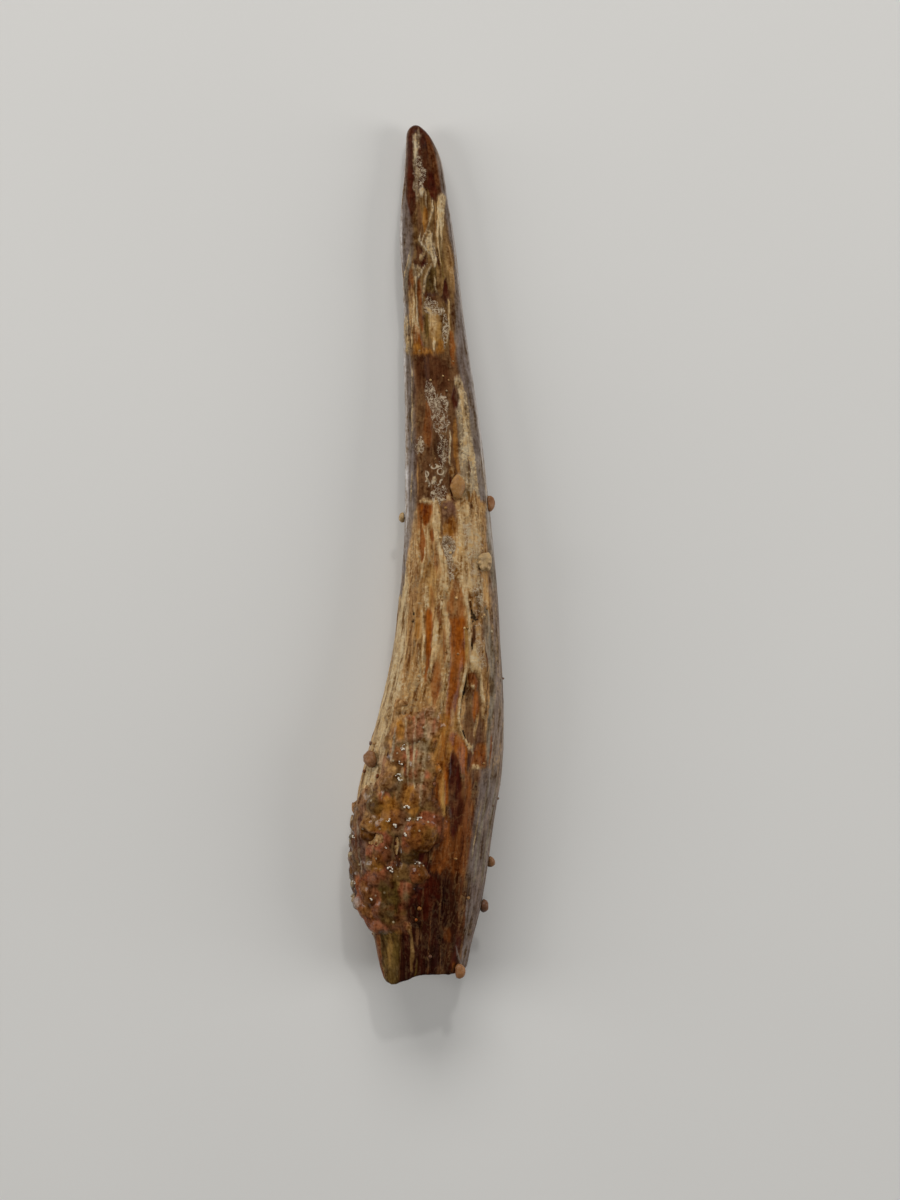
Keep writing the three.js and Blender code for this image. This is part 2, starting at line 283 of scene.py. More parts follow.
# The tip, down to the chalky ridge.
CROWN_MARKS: tuple[Mark, ...] = (
    # Painted sheen: the grey reflection of the surroundings on the glossy enamel of the flanges along both
    # edges.
    Mark(Stain.PAINTED_SHEEN, ((4.1, -1.2, 0.1), (6, -1.05, 0.4), (7.5, -1, 0.4), (9.5, -1.14, 0.12)), ragged=0.02,
         gloss=0.1, strength=0.8),
    Mark(Stain.SLATE, ((7.3, -0.78, 0.04), (8.2, -0.86, 0.09), (10.4, -1.2, 0.05)), ragged=0.02, relief=0.04),
    Mark.thread(Stain.DUST, 0.04, ((7.7, -0.86), (8.8, -1.12), (9.6, -1.22)), relief=0.05),
    # Painted sheen down the right edge and the left edge of the crown.
    Mark(Stain.PAINTED_SHEEN, ((3, 1.02, 0.12), (8, 1.95, 0.2), (12.5, 2.25, 0.5), (14.5, 2.4, 0.42),
         (16, 2.75, 0.26), (22, 3.4, 0.18)), gloss=0.05),
    Mark(Stain.PAINTED_SHEEN, ((10.4, -1.12, 0.12), (12.5, -1.16, 0.12), (15, -1, 0.36), (22.5, -0.9, 0.36),
         (27.5, -1.3, 0.05)), ragged=0.1, gloss=0.05),
    Mark(Stain.MAROON, ((0.3, -0.3, 0.5), (0.8, -0.35, 0.6), (2, -0.75, 0.2), (3.4, -0.78, 0.18),
         (4.6, -0.72, 0.22), (5.4, -0.7, 0.14)), ragged=0.08, strength=0.6),
    Mark(Stain.RUST, ((0.6, 0.1, 0.1), (1.4, 0.4, 0.2), (3.6, 0.75, 0.16)), ragged=0.1, strength=0.3),
    Mark.spot(Stain.MAROON, 3.7, 0.46, 0.27, 1.6, 0.15, ragged=0.08),
    Mark(Stain.LACE, ((1.9, -0.45, 0.15), (2.8, -0.22, 0.36), (3.3, -0.25, 0.3), (3.6, -0.35, 0.2)),
         ragged=0.15, strength=0.95),
    Mark(Stain.DUST, ((0.42, -0.4, 0.14), (0.65, -0.42, 0.24), (2.2, -0.56, 0.12), (3, -0.38, 0.15),
         (3.8, -0.54, 0.12), (4.45, -0.42, 0.12)), ragged=0.14, strength=0.62),
    Mark(Stain.LACE, ((0.5, -0.4, 0.2), (1, -0.46, 0.3), (2.6, -0.35, 0.34), (4.5, -0.4, 0.26)), ragged=0.12,
         strength=0.6),
    Mark.thread(Stain.CHALK, 0.06, ((0.6, -0.5), (1.1, -0.54), (1.6, -0.5), (2.1, -0.56)), strength=0.85),
    Mark.spot(Stain.CHALK, 3.95, -0.15, 0.13, 0.5, -0.08),
    Mark.thread(Stain.DUST, 0.06, ((3.8, 0), (4.2, 0.08), (4.95, 0.12)), strength=0.8),
    Mark.spot(Stain.HONEY, 5.65, 0.06, 0.16, 1.5, ragged=0.07),
    Mark.spot(Stain.BARK, 5.8, -0.28, 0.21, 2.2, 0.2, ragged=0.1),
    Mark.thread(Stain.DUST, 0.05, ((4.5, 0.45), (4.9, 0.5), (6, 0.25), (6.9, -0.14))),
    Mark.thread(Stain.TAN, 0.04, ((4.7, 0.6), (5.3, 0.69), (6, 0.62), (7.2, 0.72))),
    Mark.thread(Stain.CREAM, 0.06, ((4.25, 0.8), (4.8, 0.8), (6, 0.81), (6.4, 0.76), (7, 0.78), (8.2, 0.95)),
                relief=0.05),
    Mark(Stain.FIBRE, ((4.15, 1.02, 0.12), (4.3, 1.02, 0.2), (7, 0.98, 0.07), (7.8, 1.03, 0.06)),
         relief=0.03),
    Mark(Stain.OCHRE, ((6.1, 1.1, 0.06), (8.3, 1.14, 0.14), (8.9, 1.16, 0.08))),
    Mark(Stain.OLIVE, ((6.6, 0.92, 0.03), (9, 1.1, 0.04))),
    Mark(Stain.TAN, ((6.9, 1.3, 0.05), (8.3, 1.5, 0.2), (9.8, 1.72, 0.08)), ragged=0.1, strength=0.5),
    Mark(Stain.DUST, ((6.3, 0.25, 0.06), (6.6, 0.34, 0.12), (7.1, 0.22, 0.32), (7.9, 0.61, 0.17),
         (8.5, 0.63, 0.05)), ragged=0.14, relief=0.05, strength=0.9),
    Mark.thread(Stain.CHALK, 0.06, ((6.5, 0.42), (6.9, 0.36), (7.8, 0.66), (8.3, 0.66))),
    Mark.thread(Stain.CHALK, 0.05, ((6.8, 0.08), (7.15, 0.14), (7.9, 0.5))),
    Mark.thread(Stain.CHALK, 0.05, ((6.5, -0.25), (6.9, -0.27), (7.15, -0.12), (7.65, 0.36))),
    Mark.thread(Stain.MAROON, 0.05, ((7.2, 0.45), (8, 0.8), (8.4, 0.86))),
    Mark(Stain.MAROON, ((7.15, -0.4, 0.08), (7.7, -0.14, 0.3), (8, -0.24, 0.36), (8.3, -0.2, 0.42),
         (8.45, -0.3, 0.25)), relief=-0.1),
    Mark.spot(Stain.FIBRE, 7.75, -0.12, 0.17, 0.34, -0.18, ragged=0.02, relief=0.06),
)

# Olive hollow, yellow window and orange patch.
SHAFT_MARKS: tuple[Mark, ...] = (
    Mark.spot(Stain.RUST, 9.35, -0.78, 0.17, 1.5),
    Mark(Stain.DUST, ((8.3, -0.58, 0.06), (8.5, -0.45, 0.25), (8.8, -0.35, 0.3), (9.25, -0.48, 0.1)),
         ragged=0.14, relief=0.03),
    Mark.thread(Stain.CHALK, 0.06, ((8.3, 0.05), (8.8, -0.25), (9, -0.35))),
    Mark(Stain.MOSS, ((8.5, 0.5, 0.12), (8.9, 0.42, 0.3), (10, 0.4, 0.3)), relief=-0.08),
    Mark.thread(Stain.DUST, 0.06, ((8.25, 0.42), (9, 0.1), (10, -0.03), (10.4, -0.1)), relief=0.05),
    Mark.thread(Stain.DUST, 0.04, ((9, 0.62), (9.5, 0.63), (9.8, 0.7), (10, 0.84))),
    Mark(Stain.MAROON, ((9.1, 1.25, 0.06), (10.2, 1.3, 0.24), (10.4, 1.3, 0.1)), relief=-0.12),
    Mark(Stain.TAN, ((9.6, -0.8, 0.08), (10, -0.72, 0.17), (11.3, -0.7, 0.19), (11.8, -0.72, 0.1))),
    Mark.thread(Stain.CREAM, 0.04, ((10, -0.62), (10.6, -0.58), (12.2, -0.72), (13, -0.72))),
    Mark.thread(Stain.CHALK, 0.04, ((9, -0.5), (11.3, -0.4), (11.7, -0.34))),
    Mark(Stain.RUST, ((9.1, -0.3, 0.06), (9.8, -0.28, 0.13), (11.6, -0.2, 0.1), (12.1, -0.1, 0.05))),
    Mark(Stain.ENAMEL, ((9.95, 0.5, 0.46), (10.2, 0.6, 0.7), (10.5, 0.7, 0.5)), ragged=0.1),
    Mark(Stain.LACE, ((10.35, 0.38, 0.2), (10.6, 0.5, 0.42), (11, 0.6, 0.6), (11.25, 0.4, 0.4)), ragged=0.12,
         strength=1.3),
    Mark.spot(Stain.CHALK, 11.07, 0.3, 0.19, 0.35, 0.27, ragged=0.1),
    Mark.spot(Stain.OLIVE, 11.85, 0.16, 0.16, 1.3),
    Mark(Stain.GOLD, ((11.15, 0.66, 0.2), (11.5, 0.66, 0.31), (12.45, 0.62, 0.3), (12.7, 0.64, 0.18)),
         gloss=0.1, relief=0.03),
    Mark.thread(Stain.CREAM, 0.05, ((10.3, 1.42), (12.1, 1.42), (12.8, 1.3)), relief=0.05),
    Mark.spot(Stain.LACE, 11.95, 1.23, 0.18, 2.1, ragged=0.12, strength=1.2),
    Mark(Stain.BARK, ((10.4, 1.62, 0.06), (12, 1.66, 0.1))),
    Mark.spot(Stain.RUST, 13.1, 1.61, 0.15, 2, 0.08),
    Mark(Stain.DUST, ((11.1, -1.06, 0.07), (11.8, -1.02, 0.13), (13.4, -0.95, 0.08)), ragged=0.12,
         relief=0.03),
    Mark(Stain.AMBER, ((11.7, -0.52, 0.08), (12.1, -0.46, 0.18), (13, -0.3, 0.27)), gloss=0.15),
    Mark(Stain.HONEY, ((12.8, -0.45, 0.15), (13.3, -0.1, 0.55), (13.45, -0.05, 0.5))),
    Mark.spot(Stain.CREAM, 12.88, 0.55, 0.09, 0.55, relief=0.03),
    Mark(Stain.HONEY, ((12.6, 0.95, 0.14), (13.35, 0.9, 0.26)), ragged=0.1),
)

# The dark band and its granular network.
BAND_MARKS: tuple[Mark, ...] = (
    Mark.spot(Stain.CREAM, 11.65, 0.53, 0.29, 1.5, ragged=0.1, strength=0.5),
    Mark.spot(Stain.CREAM, 12.05, -0.45, 0.19, 1.3, 0.1, ragged=0.12, strength=0.35),
    Mark(Stain.ENAMEL, ((13.5, 0.2, 0.6), (13.9, 0.35, 0.85), (14.8, 0.5, 1), (15.6, 0.5, 0.9)), ragged=0.12,
         strength=0.85),
    Mark.spot(Stain.MAROON, 15.98, 1.82, 0.21, 1.25, relief=-0.07),
    Mark.spot(Stain.CREAM, 16.6, 2.21, 0.09, 2, 0.2, ragged=0.08, relief=0.03),
    Mark(Stain.RUST, ((16.3, 0.2, 0.14), (18, 0.2, 0.24), (18.8, 0.24, 0.14)), ragged=0.08, strength=0.75),
    Mark(Stain.LACE, ((15.2, 0.3, 0.2), (15.7, 0.35, 0.32), (16, 0.6, 0.55), (16.4, 0.85, 0.6),
         (17.2, 0.9, 0.42), (17.6, 1, 0.48), (17.95, 0.95, 0.36), (18.15, 0.85, 0.16)), ragged=0.15,
         strength=1.3),
    Mark.spot(Stain.CHALK, 16.52, 0.78, 0.27, 0.85, -0.1, ragged=0.2, strength=0.15),
    Mark.thread(Stain.DUST, 0.04, ((13.8, -0.74), (16.6, -0.66), (18.6, -0.7))),
    Mark.spot(Stain.DEEP, 18.95, 0.86, 0.32, 1.5, ragged=0.12, strength=0.6),
    Mark.thread(Stain.CHALK, 0.04, ((18, 1.45), (18.4, 1.52), (19.4, 1.42), (19.9, 1.5))),
    Mark.thread(Stain.DUST, 0.03, ((18.1, 1.28), (19, 1.15), (19.6, 1.2))),
    Mark.spot(Stain.LACE, 19.1, 1.1, 0.38, 1.6, ragged=0.15, strength=0.85),
    Mark.spot(Stain.LACE, 18.8, -0.25, 0.32, 0.8, -0.1, ragged=0.1, strength=1.2),
    Mark(Stain.DUST, ((18.5, -0.2, 0.05), (19.05, -0.28, 0.2)), ragged=0.08, strength=0.7),
    Mark(Stain.HONEY, ((17.3, 1.75, 0.08), (19, 1.8, 0.14), (20.4, 2, 0.1)), ragged=0.1, strength=0.7),
    Mark.spot(Stain.PIT, 16.7, 2, 0.05, 1.2, 0.15, strength=0.75),
    Mark.thread(Stain.UMBER, 0.04, ((19.3, 2.5), (20, 2.6), (20.6, 2.66))),
    Mark.thread(Stain.DUST, 0.04, ((20.3, -0.68), (21, -0.7), (22, -0.8))),
    Mark.thread(Stain.TAN, 0.04, ((19.8, -0.38), (20.6, -0.36), (21.6, -0.34))),
    Mark(Stain.RINGS, ((19.9, 0.6, 0.35), (20.2, 0.62, 0.52), (20.6, 0.62, 0.55), (21, 0.5, 0.45),
         (21.2, 0.5, 0.2)), ragged=0.1, strength=1.2),
    Mark.thread(Stain.CHALK, 0.06, ((20.4, 0.08), (20.85, 0.2), (21.1, 0.42))),
    Mark.spot(Stain.CHALK, 20.73, 0.61, 0.13, 0.25, relief=0.03),
    Mark.spot(Stain.DUST, 20.3, 1.13, 0.19, 0.6, ragged=0.12, strength=0.6),
    Mark.spot(Stain.LACE, 21.6, 0.92, 0.53, 1, ragged=0.15, strength=1.15),
    Mark.spot(Stain.TAN, 20.3, 1.6, 0.17, 0.6, relief=0.05),
    Mark(Stain.MAROON, ((20.6, 1.5, 0.04), (21.9, 1.62, 0.05), (22.05, 1.8, 0.12)), ragged=0.03),
)

# Where the crown meets the root.
NECK_MARKS: tuple[Mark, ...] = (
    Mark(Stain.CREAM, ((22, 2.5, 0.3), (22.8, 2.6, 0.55), (24, 2.6, 0.75), (25.3, 2.6, 0.75),
         (26.6, 2.5, 0.55), (27.3, 2.4, 0.25)), ragged=0.25, strength=0.6),
    Mark.spot(Stain.GOLD, 24.6, 2.26, 0.36, 0.8, ragged=0.1, strength=0.5),
    Mark(Stain.RUST, ((22, -0.3, 0.1), (22.8, -0.28, 0.14), (23.6, -0.25, 0.14)), strength=0.7),
    Mark(Stain.AMBER, ((22.08, 0.14, 0.26), (22.3, 0.12, 0.36), (22.7, 0.13, 0.34), (23.35, 0.1, 0.1)),
         gloss=0.2),
    Mark.spot(Stain.CREAM, 21.99, 0.16, 0.46, 0.18, 0.1, relief=0.03),
    Mark(Stain.CREAM, ((22.08, 0.62, 0.1), (22.5, 0.7, 0.13), (23.5, 0.68, 0.17), (24.6, 0.78, 0.12),
         (25.4, 1.13, 0.18)), ragged=0.08, relief=0.06),
    Mark(Stain.PLUM, ((22.05, 1.4, 0.3), (22.5, 1.42, 0.44), (23.4, 1.45, 0.4)), relief=-0.04),
    Mark(Stain.HONEY, ((22.9, 1.6, 0.12), (23.3, 1.5, 0.36), (23.95, 1.45, 0.38)), ragged=0.07, relief=-0.03),
    Mark(Stain.BARK, ((22.1, 1, 0.06), (24, 1.02, 0.08))),
    Mark.spot(Stain.RUST, 24.55, -0.11, 0.18, 1.9, relief=-0.03),
    Mark.spot(Stain.RUST, 24.05, 0.45, 0.12, 0.7),
    Mark.spot(Stain.RUST, 25.55, 0.67, 0.1, 1.3, strength=0.8),
    Mark.thread(Stain.CREAM, 0.04, ((23.5, 0.2), (24.2, 0.22), (25.8, 0.28))),
    Mark.thread(Stain.CREAM, 0.04, ((24.8, 0.05), (25.9, -0.1), (26.4, -0.12))),
    Mark.spot(Stain.SLATE, 24.58, 1.4, 0.42, 1.05, 0.1, ragged=0.12, relief=-0.03, strength=0.7),
    Mark.spot(Stain.LACE, 24.5, 1.42, 0.44, 1, ragged=0.08, strength=1.2),
    Mark.spot(Stain.LACE, 25.7, 1.46, 0.38, 1.6, 0.2, ragged=0.1),
    Mark.spot(Stain.CREAM, 26, 1.91, 0.21, 1.6, 0.3, ragged=0.15, strength=0.6),
    Mark.spot(Stain.CREAM, 22.3, 2.32, 0.47, 1.4, -0.1, ragged=0.25, strength=0.3),
    Mark.spot(Stain.BARK, 22.3, 2.69, 0.09, 0.4),
    Mark(Stain.SLATE, ((22.6, 3.72, 0.1), (23.6, 3.75, 0.16), (27, 4.05, 0.1))),
)

# The fibrous upper root and its amber stripes.
ROOT_MARKS: tuple[Mark, ...] = (
    Mark(Stain.GOLD, ((25.6, 0.35, 0.2), (26.4, 0.35, 0.38), (28.1, 0.45, 0.26)), ragged=0.12, strength=0.6),
    Mark(Stain.CREAM, ((25.2, 1.08, 0.14), (25.7, 1.2, 0.2), (26.4, 1.22, 0.22), (26.9, 1.12, 0.24),
         (27.4, 1, 0.14), (28.6, 1.28, 0.12), (30, 1.42, 0.1), (31.4, 1.36, 0.05)), ragged=0.08, relief=0.06),
    Mark(Stain.CREAM, ((26.9, 0.12, 0.08), (27.5, 0.12, 0.12), (28.2, 0.18, 0.12))),
    Mark.spot(Stain.RUST, 27.5, 0.44, 0.1, 1.2, 0.08, strength=0.6),
    Mark(Stain.AMBER, ((28.15, 0.24, 0.1), (28.5, 0.26, 0.2), (30, 0.28, 0.17), (32.4, 0.08, 0.06)),
         relief=-0.03),
    Mark.spot(Stain.HONEY, 29.15, -0.36, 0.15, 1.9, -0.09),
    Mark.thread(Stain.CREAM, 0.06, ((28.5, -0.08), (29.8, 0), (31.3, -0.1))),
    Mark.thread(Stain.CREAM, 0.04, ((30.3, -0.28), (31, -0.3), (32.8, -0.12))),
    Mark.spot(Stain.RUST, 28.55, 0.88, 0.16, 0.9, 0.1, ragged=0.08, strength=0.8),
    Mark(Stain.CREAM, ((28.8, 0.72, 0.1), (30.2, 0.7, 0.25), (32.1, 0.38, 0.1)), ragged=0.12, strength=0.85),
    Mark.thread(Stain.RUST, 0.06, ((29.3, 1.12), (30.7, 1.18), (31.4, 1.2))),
    Mark.spot(Stain.RUST, 32.3, 0.71, 0.32, 2.2, -0.11, ragged=0.08, relief=-0.03),
    Mark.thread(Stain.CREAM, 0.04, ((31.6, 1.38), (32.4, 1.36), (34, 1.2)), ragged=0.06),
    Mark.thread(Stain.CREAM, 0.04, ((31.9, 1.2), (32.6, 1.15), (36.6, 0.86)), ragged=0.08),
    Mark(Stain.RUST, ((26.5, 1.86, 0.1), (27.7, 1.78, 0.45), (28.4, 1.78, 0.5), (29, 1.9, 0.46)), ragged=0.2,
         strength=0.8),
    Mark(Stain.AMBER, ((28.7, 1.9, 0.4), (29.5, 1.98, 0.5), (31, 2.02, 0.5), (31.8, 1.78, 0.34),
         (35, 1.5, 0.3)), gloss=0.2),
    Mark(Stain.RUST, ((30.3, 1.8, 0.12), (30.9, 1.82, 0.26), (33, 1.66, 0.12)), ragged=0.12, strength=0.4,
         gloss=0.2),
    Mark(Stain.GOLD, ((29.2, 2.42, 0.08), (29.8, 2.46, 0.14), (31.1, 2.44, 0.06)), gloss=0.15),
    Mark(Stain.FIBRE, ((27.4, 2.42, 0.07), (29, 2.6, 0.09), (31, 2.66, 0.04)), relief=0.04),
    Mark(Stain.PIT, ((27.85, 2.62, 0.03), (28.8, 2.86, 0.15), (29, 2.96, 0.07)), ragged=0.08, relief=-0.16),
    Mark.spot(Stain.PIT, 28.86, 3.19, 0.19, 0.2, 0.2, relief=-0.1),
    Mark.spot(Stain.UMBER, 29.85, 2.85, 0.14, 1.5, -0.1, relief=-0.1),
    Mark.spot(Stain.PIT, 30.42, 2.73, 0.05, 1.05, -0.08, relief=-0.1),
    Mark.spot(Stain.PIT, 28.48, -0.62, 0.07, 0.25, relief=-0.1),
    Mark.spot(Stain.PIT, 28.9, -0.65, 0.08, 0.4, -0.16, relief=-0.12),
    Mark.spot(Stain.OLIVE, 27.95, 3.11, 0.16, 1.3, 0.14, ragged=0.1, strength=0.7),
    Mark.spot(Stain.FIBRE, 27.15, 3.26, 0.17, 1.5, 0.15, ragged=0.1),
    Mark(Stain.CREAM, ((30.2, 2.86, 0.08), (31.4, 2.9, 0.34), (31.7, 2.95, 0.3)), ragged=0.1, relief=0.03),
    Mark(Stain.SLATE, ((28.1, 3.55, 0.07), (28.6, 3.62, 0.18), (29.5, 3.62, 0.26), (31.5, 3.9, 0.2),
         (33, 3.94, 0.16), (36, 3.66, 0.1), (37.2, 3.75, 0.08)), relief=-0.04),
    Mark.spot(Stain.UMBER, 29.55, 3.37, 0.12, 0.9, strength=0.8),
    Mark.thread(Stain.UMBER, 0.04, ((30, 3.45), (31, 3.6), (32, 3.66), (34.4, 3.52))),
)

# The flaked window and what lies below it.
FLAKE_MARKS: tuple[Mark, ...] = (
    Mark(Stain.LACE, ((23.2, 2.7, 0.5), (24.8, 2.9, 0.6), (26, 3.05, 0.45), (28, 3.1, 0.3),
         (31.5, 3.3, 0.25)), ragged=0.2, strength=0.75),
    Mark(Stain.BARK, ((31.85, 2.75, 0.25), (32.5, 2.8, 0.45), (34.6, 2.72, 0.66), (36.4, 3, 0.35)),
         relief=-0.12),
    Mark(Stain.CREAM, ((31.4, 2.4, 0.07), (34.6, 1.95, 0.09), (35.05, 2.02, 0.1), (36.15, 2.62, 0.09)),
         ragged=0.03, relief=0.09),
    Mark(Stain.CREAM, ((31.6, 3.2, 0.07), (33.8, 3.42, 0.06), (34.4, 3.4, 0.03)), relief=0.06),
    Mark.spot(Stain.RUST, 32.38, 2.78, 0.32, 0.95, 0.08, ragged=0.02, relief=0.14),
    Mark.spot(Stain.CREAM, 32.64, 2.78, 0.12, 0.19, 0.12, ragged=0.02, relief=0.05),
    Mark.thread(Stain.CREAM, 0.03, ((31.9, 2.5), (32.2, 2.46), (32.6, 2.5), (32.8, 2.6))),
    Mark.spot(Stain.TAN, 33.9, 2.28, 0.13, 1.4, -0.16, relief=0.05),
    Mark.spot(Stain.AMBER, 33.75, 2.99, 0.23, 1.7, strength=0.85),
    Mark(Stain.PIT, ((32, 2.44, 0.02), (33, 2.29, 0.09), (33.6, 2.12, 0.03), (34.4, 2.07, 0.03)),
         relief=-0.1),
    Mark.spot(Stain.PIT, 35.35, 2.27, 0.1, 0.5, 0.24, relief=-0.1),
    Mark.spot(Stain.TAN, 34.85, 3.02, 0.11, 1.3, -0.3),
    Mark(Stain.PLUM, ((34.6, 3.35, 0.1), (35.2, 3.3, 0.22), (35.9, 3.3, 0.25)), ragged=0.08, strength=0.7),
    Mark(Stain.RUST, ((35.9, 3.3, 0.25), (37.22, 3.1, 0.48)), ragged=0.07, relief=-0.05),
    Mark.spot(Stain.DUST, 36.3, 2.81, 0.1, 0.4),
    Mark.spot(Stain.CREAM, 37.25, 2.99, 0.36, 0.15, ragged=0.03, relief=0.06),
    Mark(Stain.BARK, ((37.35, 2.9, 0.3), (37.6, 2.9, 0.34), (38, 2.85, 0.25)), strength=0.8),
    Mark.thread(Stain.RUST, 0.05, ((35.4, 3.85), (36, 3.85), (37.2, 3.75))),
    Mark(Stain.HONEY, ((34.2, 1.2, 0.2), (35.5, 1.2, 0.7), (36.2, 1.15, 0.7), (37.6, 0.85, 0.2)), ragged=0.12,
         strength=0.85),
    Mark(Stain.GOLD, ((34, 1.68, 0.1), (35, 1.78, 0.2), (35.4, 1.9, 0.2)), gloss=0.2),
    Mark(Stain.AMBER, ((35.3, 1.7, 0.25), (35.7, 1.85, 0.42), (36.1, 2.05, 0.42), (37, 2.25, 0.2),
         (37.6, 2.3, 0.12)), gloss=0.2),
    Mark(Stain.MAROON, ((36.4, 1.6, 0.1), (37, 1.72, 0.28), (39.8, 1.9, 0.42), (41.1, 1.74, 0.18)),
         ragged=0.14, gloss=0.2),
    Mark(Stain.GOLD, ((37.2, 0.95, 0.1), (37.9, 0.98, 0.18), (40, 1.15, 0.08)), gloss=0.15),
    Mark(Stain.AMBER, ((37, 1.28, 0.1), (39.4, 1.32, 0.1)), gloss=0.15),
    Mark(Stain.RUST, ((37.4, 2.5, 0.14), (40, 2.6, 0.25), (43, 1.7, 0.85), (43.7, 1.6, 0.7)), ragged=0.14,
         strength=0.6),
    Mark(Stain.RUST, ((40.2, 1.3, 0.14), (41.2, 1.36, 0.2), (42.2, 1, 0.5), (43.2, 0.8, 0.4)), ragged=0.12,
         strength=0.8),
    Mark(Stain.MAROON, ((39.1, 0.5, 0.06), (39.8, 0.5, 0.1), (41, 0.72, 0.34), (41.5, 0.66, 0.4),
         (41.85, 0.55, 0.28)), ragged=0.07, gloss=0.2),
    Mark(Stain.MAROON, ((41.3, 0.3, 0.12), (41.8, 0.12, 0.2), (42.6, -0.3, 0.25)), ragged=0.07, gloss=0.2),
    # The right edge of the lower root: painted sheen, the grey reflection of the surroundings, streaked with
    # slate and dust threads.
    Mark(Stain.PAINTED_SHEEN, ((37.4, 3.7, 0.45), (39.4, 3.6, 0.6), (43, 3.1, 0.6), (46, 2.85, 0.4),
         (48.8, 2.3, 0.2)), ragged=0.08, strength=0.85),
    Mark.thread(Stain.SLATE, 0.07, ((38, 3.7), (39.4, 3.5), (41, 3.2), (42.6, 3), (44, 2.85))),
    Mark.thread(Stain.SLATE, 0.07, ((38, 4.2), (39.4, 4), (42.6, 3.45), (44, 3.3))),
    Mark.thread(Stain.DUST, 0.04, ((39.2, 3.3), (41.6, 2.85), (42.4, 2.75))),
)

# The dark lower root and the olive lobe.
FOOT_MARKS: tuple[Mark, ...] = (
    Mark(Stain.AMBER, ((35.3, 1.1, 0.1), (36.2, 1.05, 0.24), (38.6, 0.88, 0.24), (39.6, 0.8, 0.12)),
         ragged=0.2, strength=0.45),
    Mark(Stain.UMBER, ((39.2, 0.7, 0.15), (40, 0.72, 0.35), (40.8, 0.75, 0.35), (41.6, 0.8, 0.2)),
         ragged=0.12),
    Mark(Stain.RUST, ((31.2, 0.66, 0.08), (31.9, 0.67, 0.2), (33, 0.62, 0.2), (33.8, 0.55, 0.1)), ragged=0.08,
         strength=0.7),
    Mark(Stain.DEEP, ((43.2, 1, 0.5), (44, 0.9, 1.2), (46.8, 0.7, 1.5), (48.5, 0.4, 1.6), (49.9, 0.3, 1.7)),
         ragged=0.15, strength=0.85),
    Mark(Stain.MAROON, ((43.5, 0.3, 0.3), (44, 0.3, 0.6), (44.6, 0.25, 0.65), (45.2, 0.1, 0.4), (46, 0, 0.2)),
         ragged=0.1),
    Mark(Stain.MAROON, ((46.2, 2.1, 0.1), (47, 2, 0.2), (47.8, 1.95, 0.15), (48.8, 1.6, 0.2),
         (49.4, 1.6, 0.15)), strength=0.7),
    Mark(Stain.UMBER, ((43.4, 2, 0.3), (44.6, 2.2, 0.4), (47.2, 2.2, 0.15)), ragged=0.12),
    # Thin lines of painted sheen on the dark foot.
    Mark.thread(Stain.PAINTED_SHEEN, 0.05, ((43.8, 2.55), (46.4, 2.4), (48.6, 2.2))),
    Mark.thread(Stain.PAINTED_SHEEN, 0.06, ((47.6, 1.85), (48.2, 2), (48.8, 2.15))),
    Mark.thread(Stain.BARK, 0.04, ((43.9, 0.02), (44.8, -0.08), (47.2, -0.18))),
    Mark.thread(Stain.BARK, 0.04, ((44.2, 1.02), (45.2, 0.95), (46.3, 0.88))),
    Mark.thread(Stain.UMBER, 0.05, ((45.6, 0.4), (48.4, 0.25), (49.3, 0.2))),
    Mark.thread(Stain.BARK, 0.04, ((47.6, 0.95), (48.4, 0.95), (49.3, 0.9))),
    Mark.spot(Stain.BARK, 49.1, 0.94, 0.28, 0.8, strength=0.6),
    Mark(Stain.MOSS, ((43.6, -1.9, 0.45), (44.6, -1.9, 0.6), (48.5, -2, 0.6), (49.6, -1.95, 0.5),
         (50.2, -1.95, 0.3)), ragged=0.08),
    Mark(Stain.OLIVE, ((45.6, -1.9, 0.2), (46.4, -1.85, 0.36), (49, -2.05, 0.34), (49.8, -2, 0.2)),
         ragged=0.1, gloss=0.1),
    Mark.spot(Stain.GOLD, 47.6, -1.97, 0.17, 2, ragged=0.12, strength=0.35),
    Mark(Stain.RUST, ((46.5, -2.65, 0.12), (48.6, -2.55, 0.1), (49.6, -2.35, 0.1)), strength=0.8),
    Mark.spot(Stain.TAN, 45.25, -1.81, 0.16, 0.5, relief=0.06),
    Mark.spot(Stain.DUST, 45.25, -1.3, 0.12, 0.4, relief=0.04),
    Mark.thread(Stain.OCHRE, 0.06, ((45.8, -1.4), (46.8, -1.42), (47.2, -1.45))),
    Mark.spot(Stain.DEEP, 45.7, -1.13, 0.3, 0.8, ragged=0.1),
    Mark(Stain.DEEP, ((46.6, -1.2, 0.06), (49, -1.25, 0.14), (49.9, -1.2, 0.12))),
    Mark.spot(Stain.TAN, 46.48, -0.87, 0.16, 0.55, 0.08, relief=0.03),
    Mark(Stain.OCHRE, ((46.7, -0.75, 0.05), (48, -0.66, 0.12), (48.9, -0.72, 0.06)), relief=0.03),
    Mark.spot(Stain.BARK, 46.95, -0.37, 0.1, 1.1),
    Mark.thread(Stain.MOSS, 0.06, ((48.3, -0.4), (49, -0.45), (49.6, -0.55))),
    Mark(Stain.RUST, ((46.5, 1.32, 0.2), (47.2, 1.35, 0.2)), ragged=0.12, strength=0.4),
    Mark.spot(Stain.RUST, 49, 1.79, 0.19, 0.8, 0.14),
)

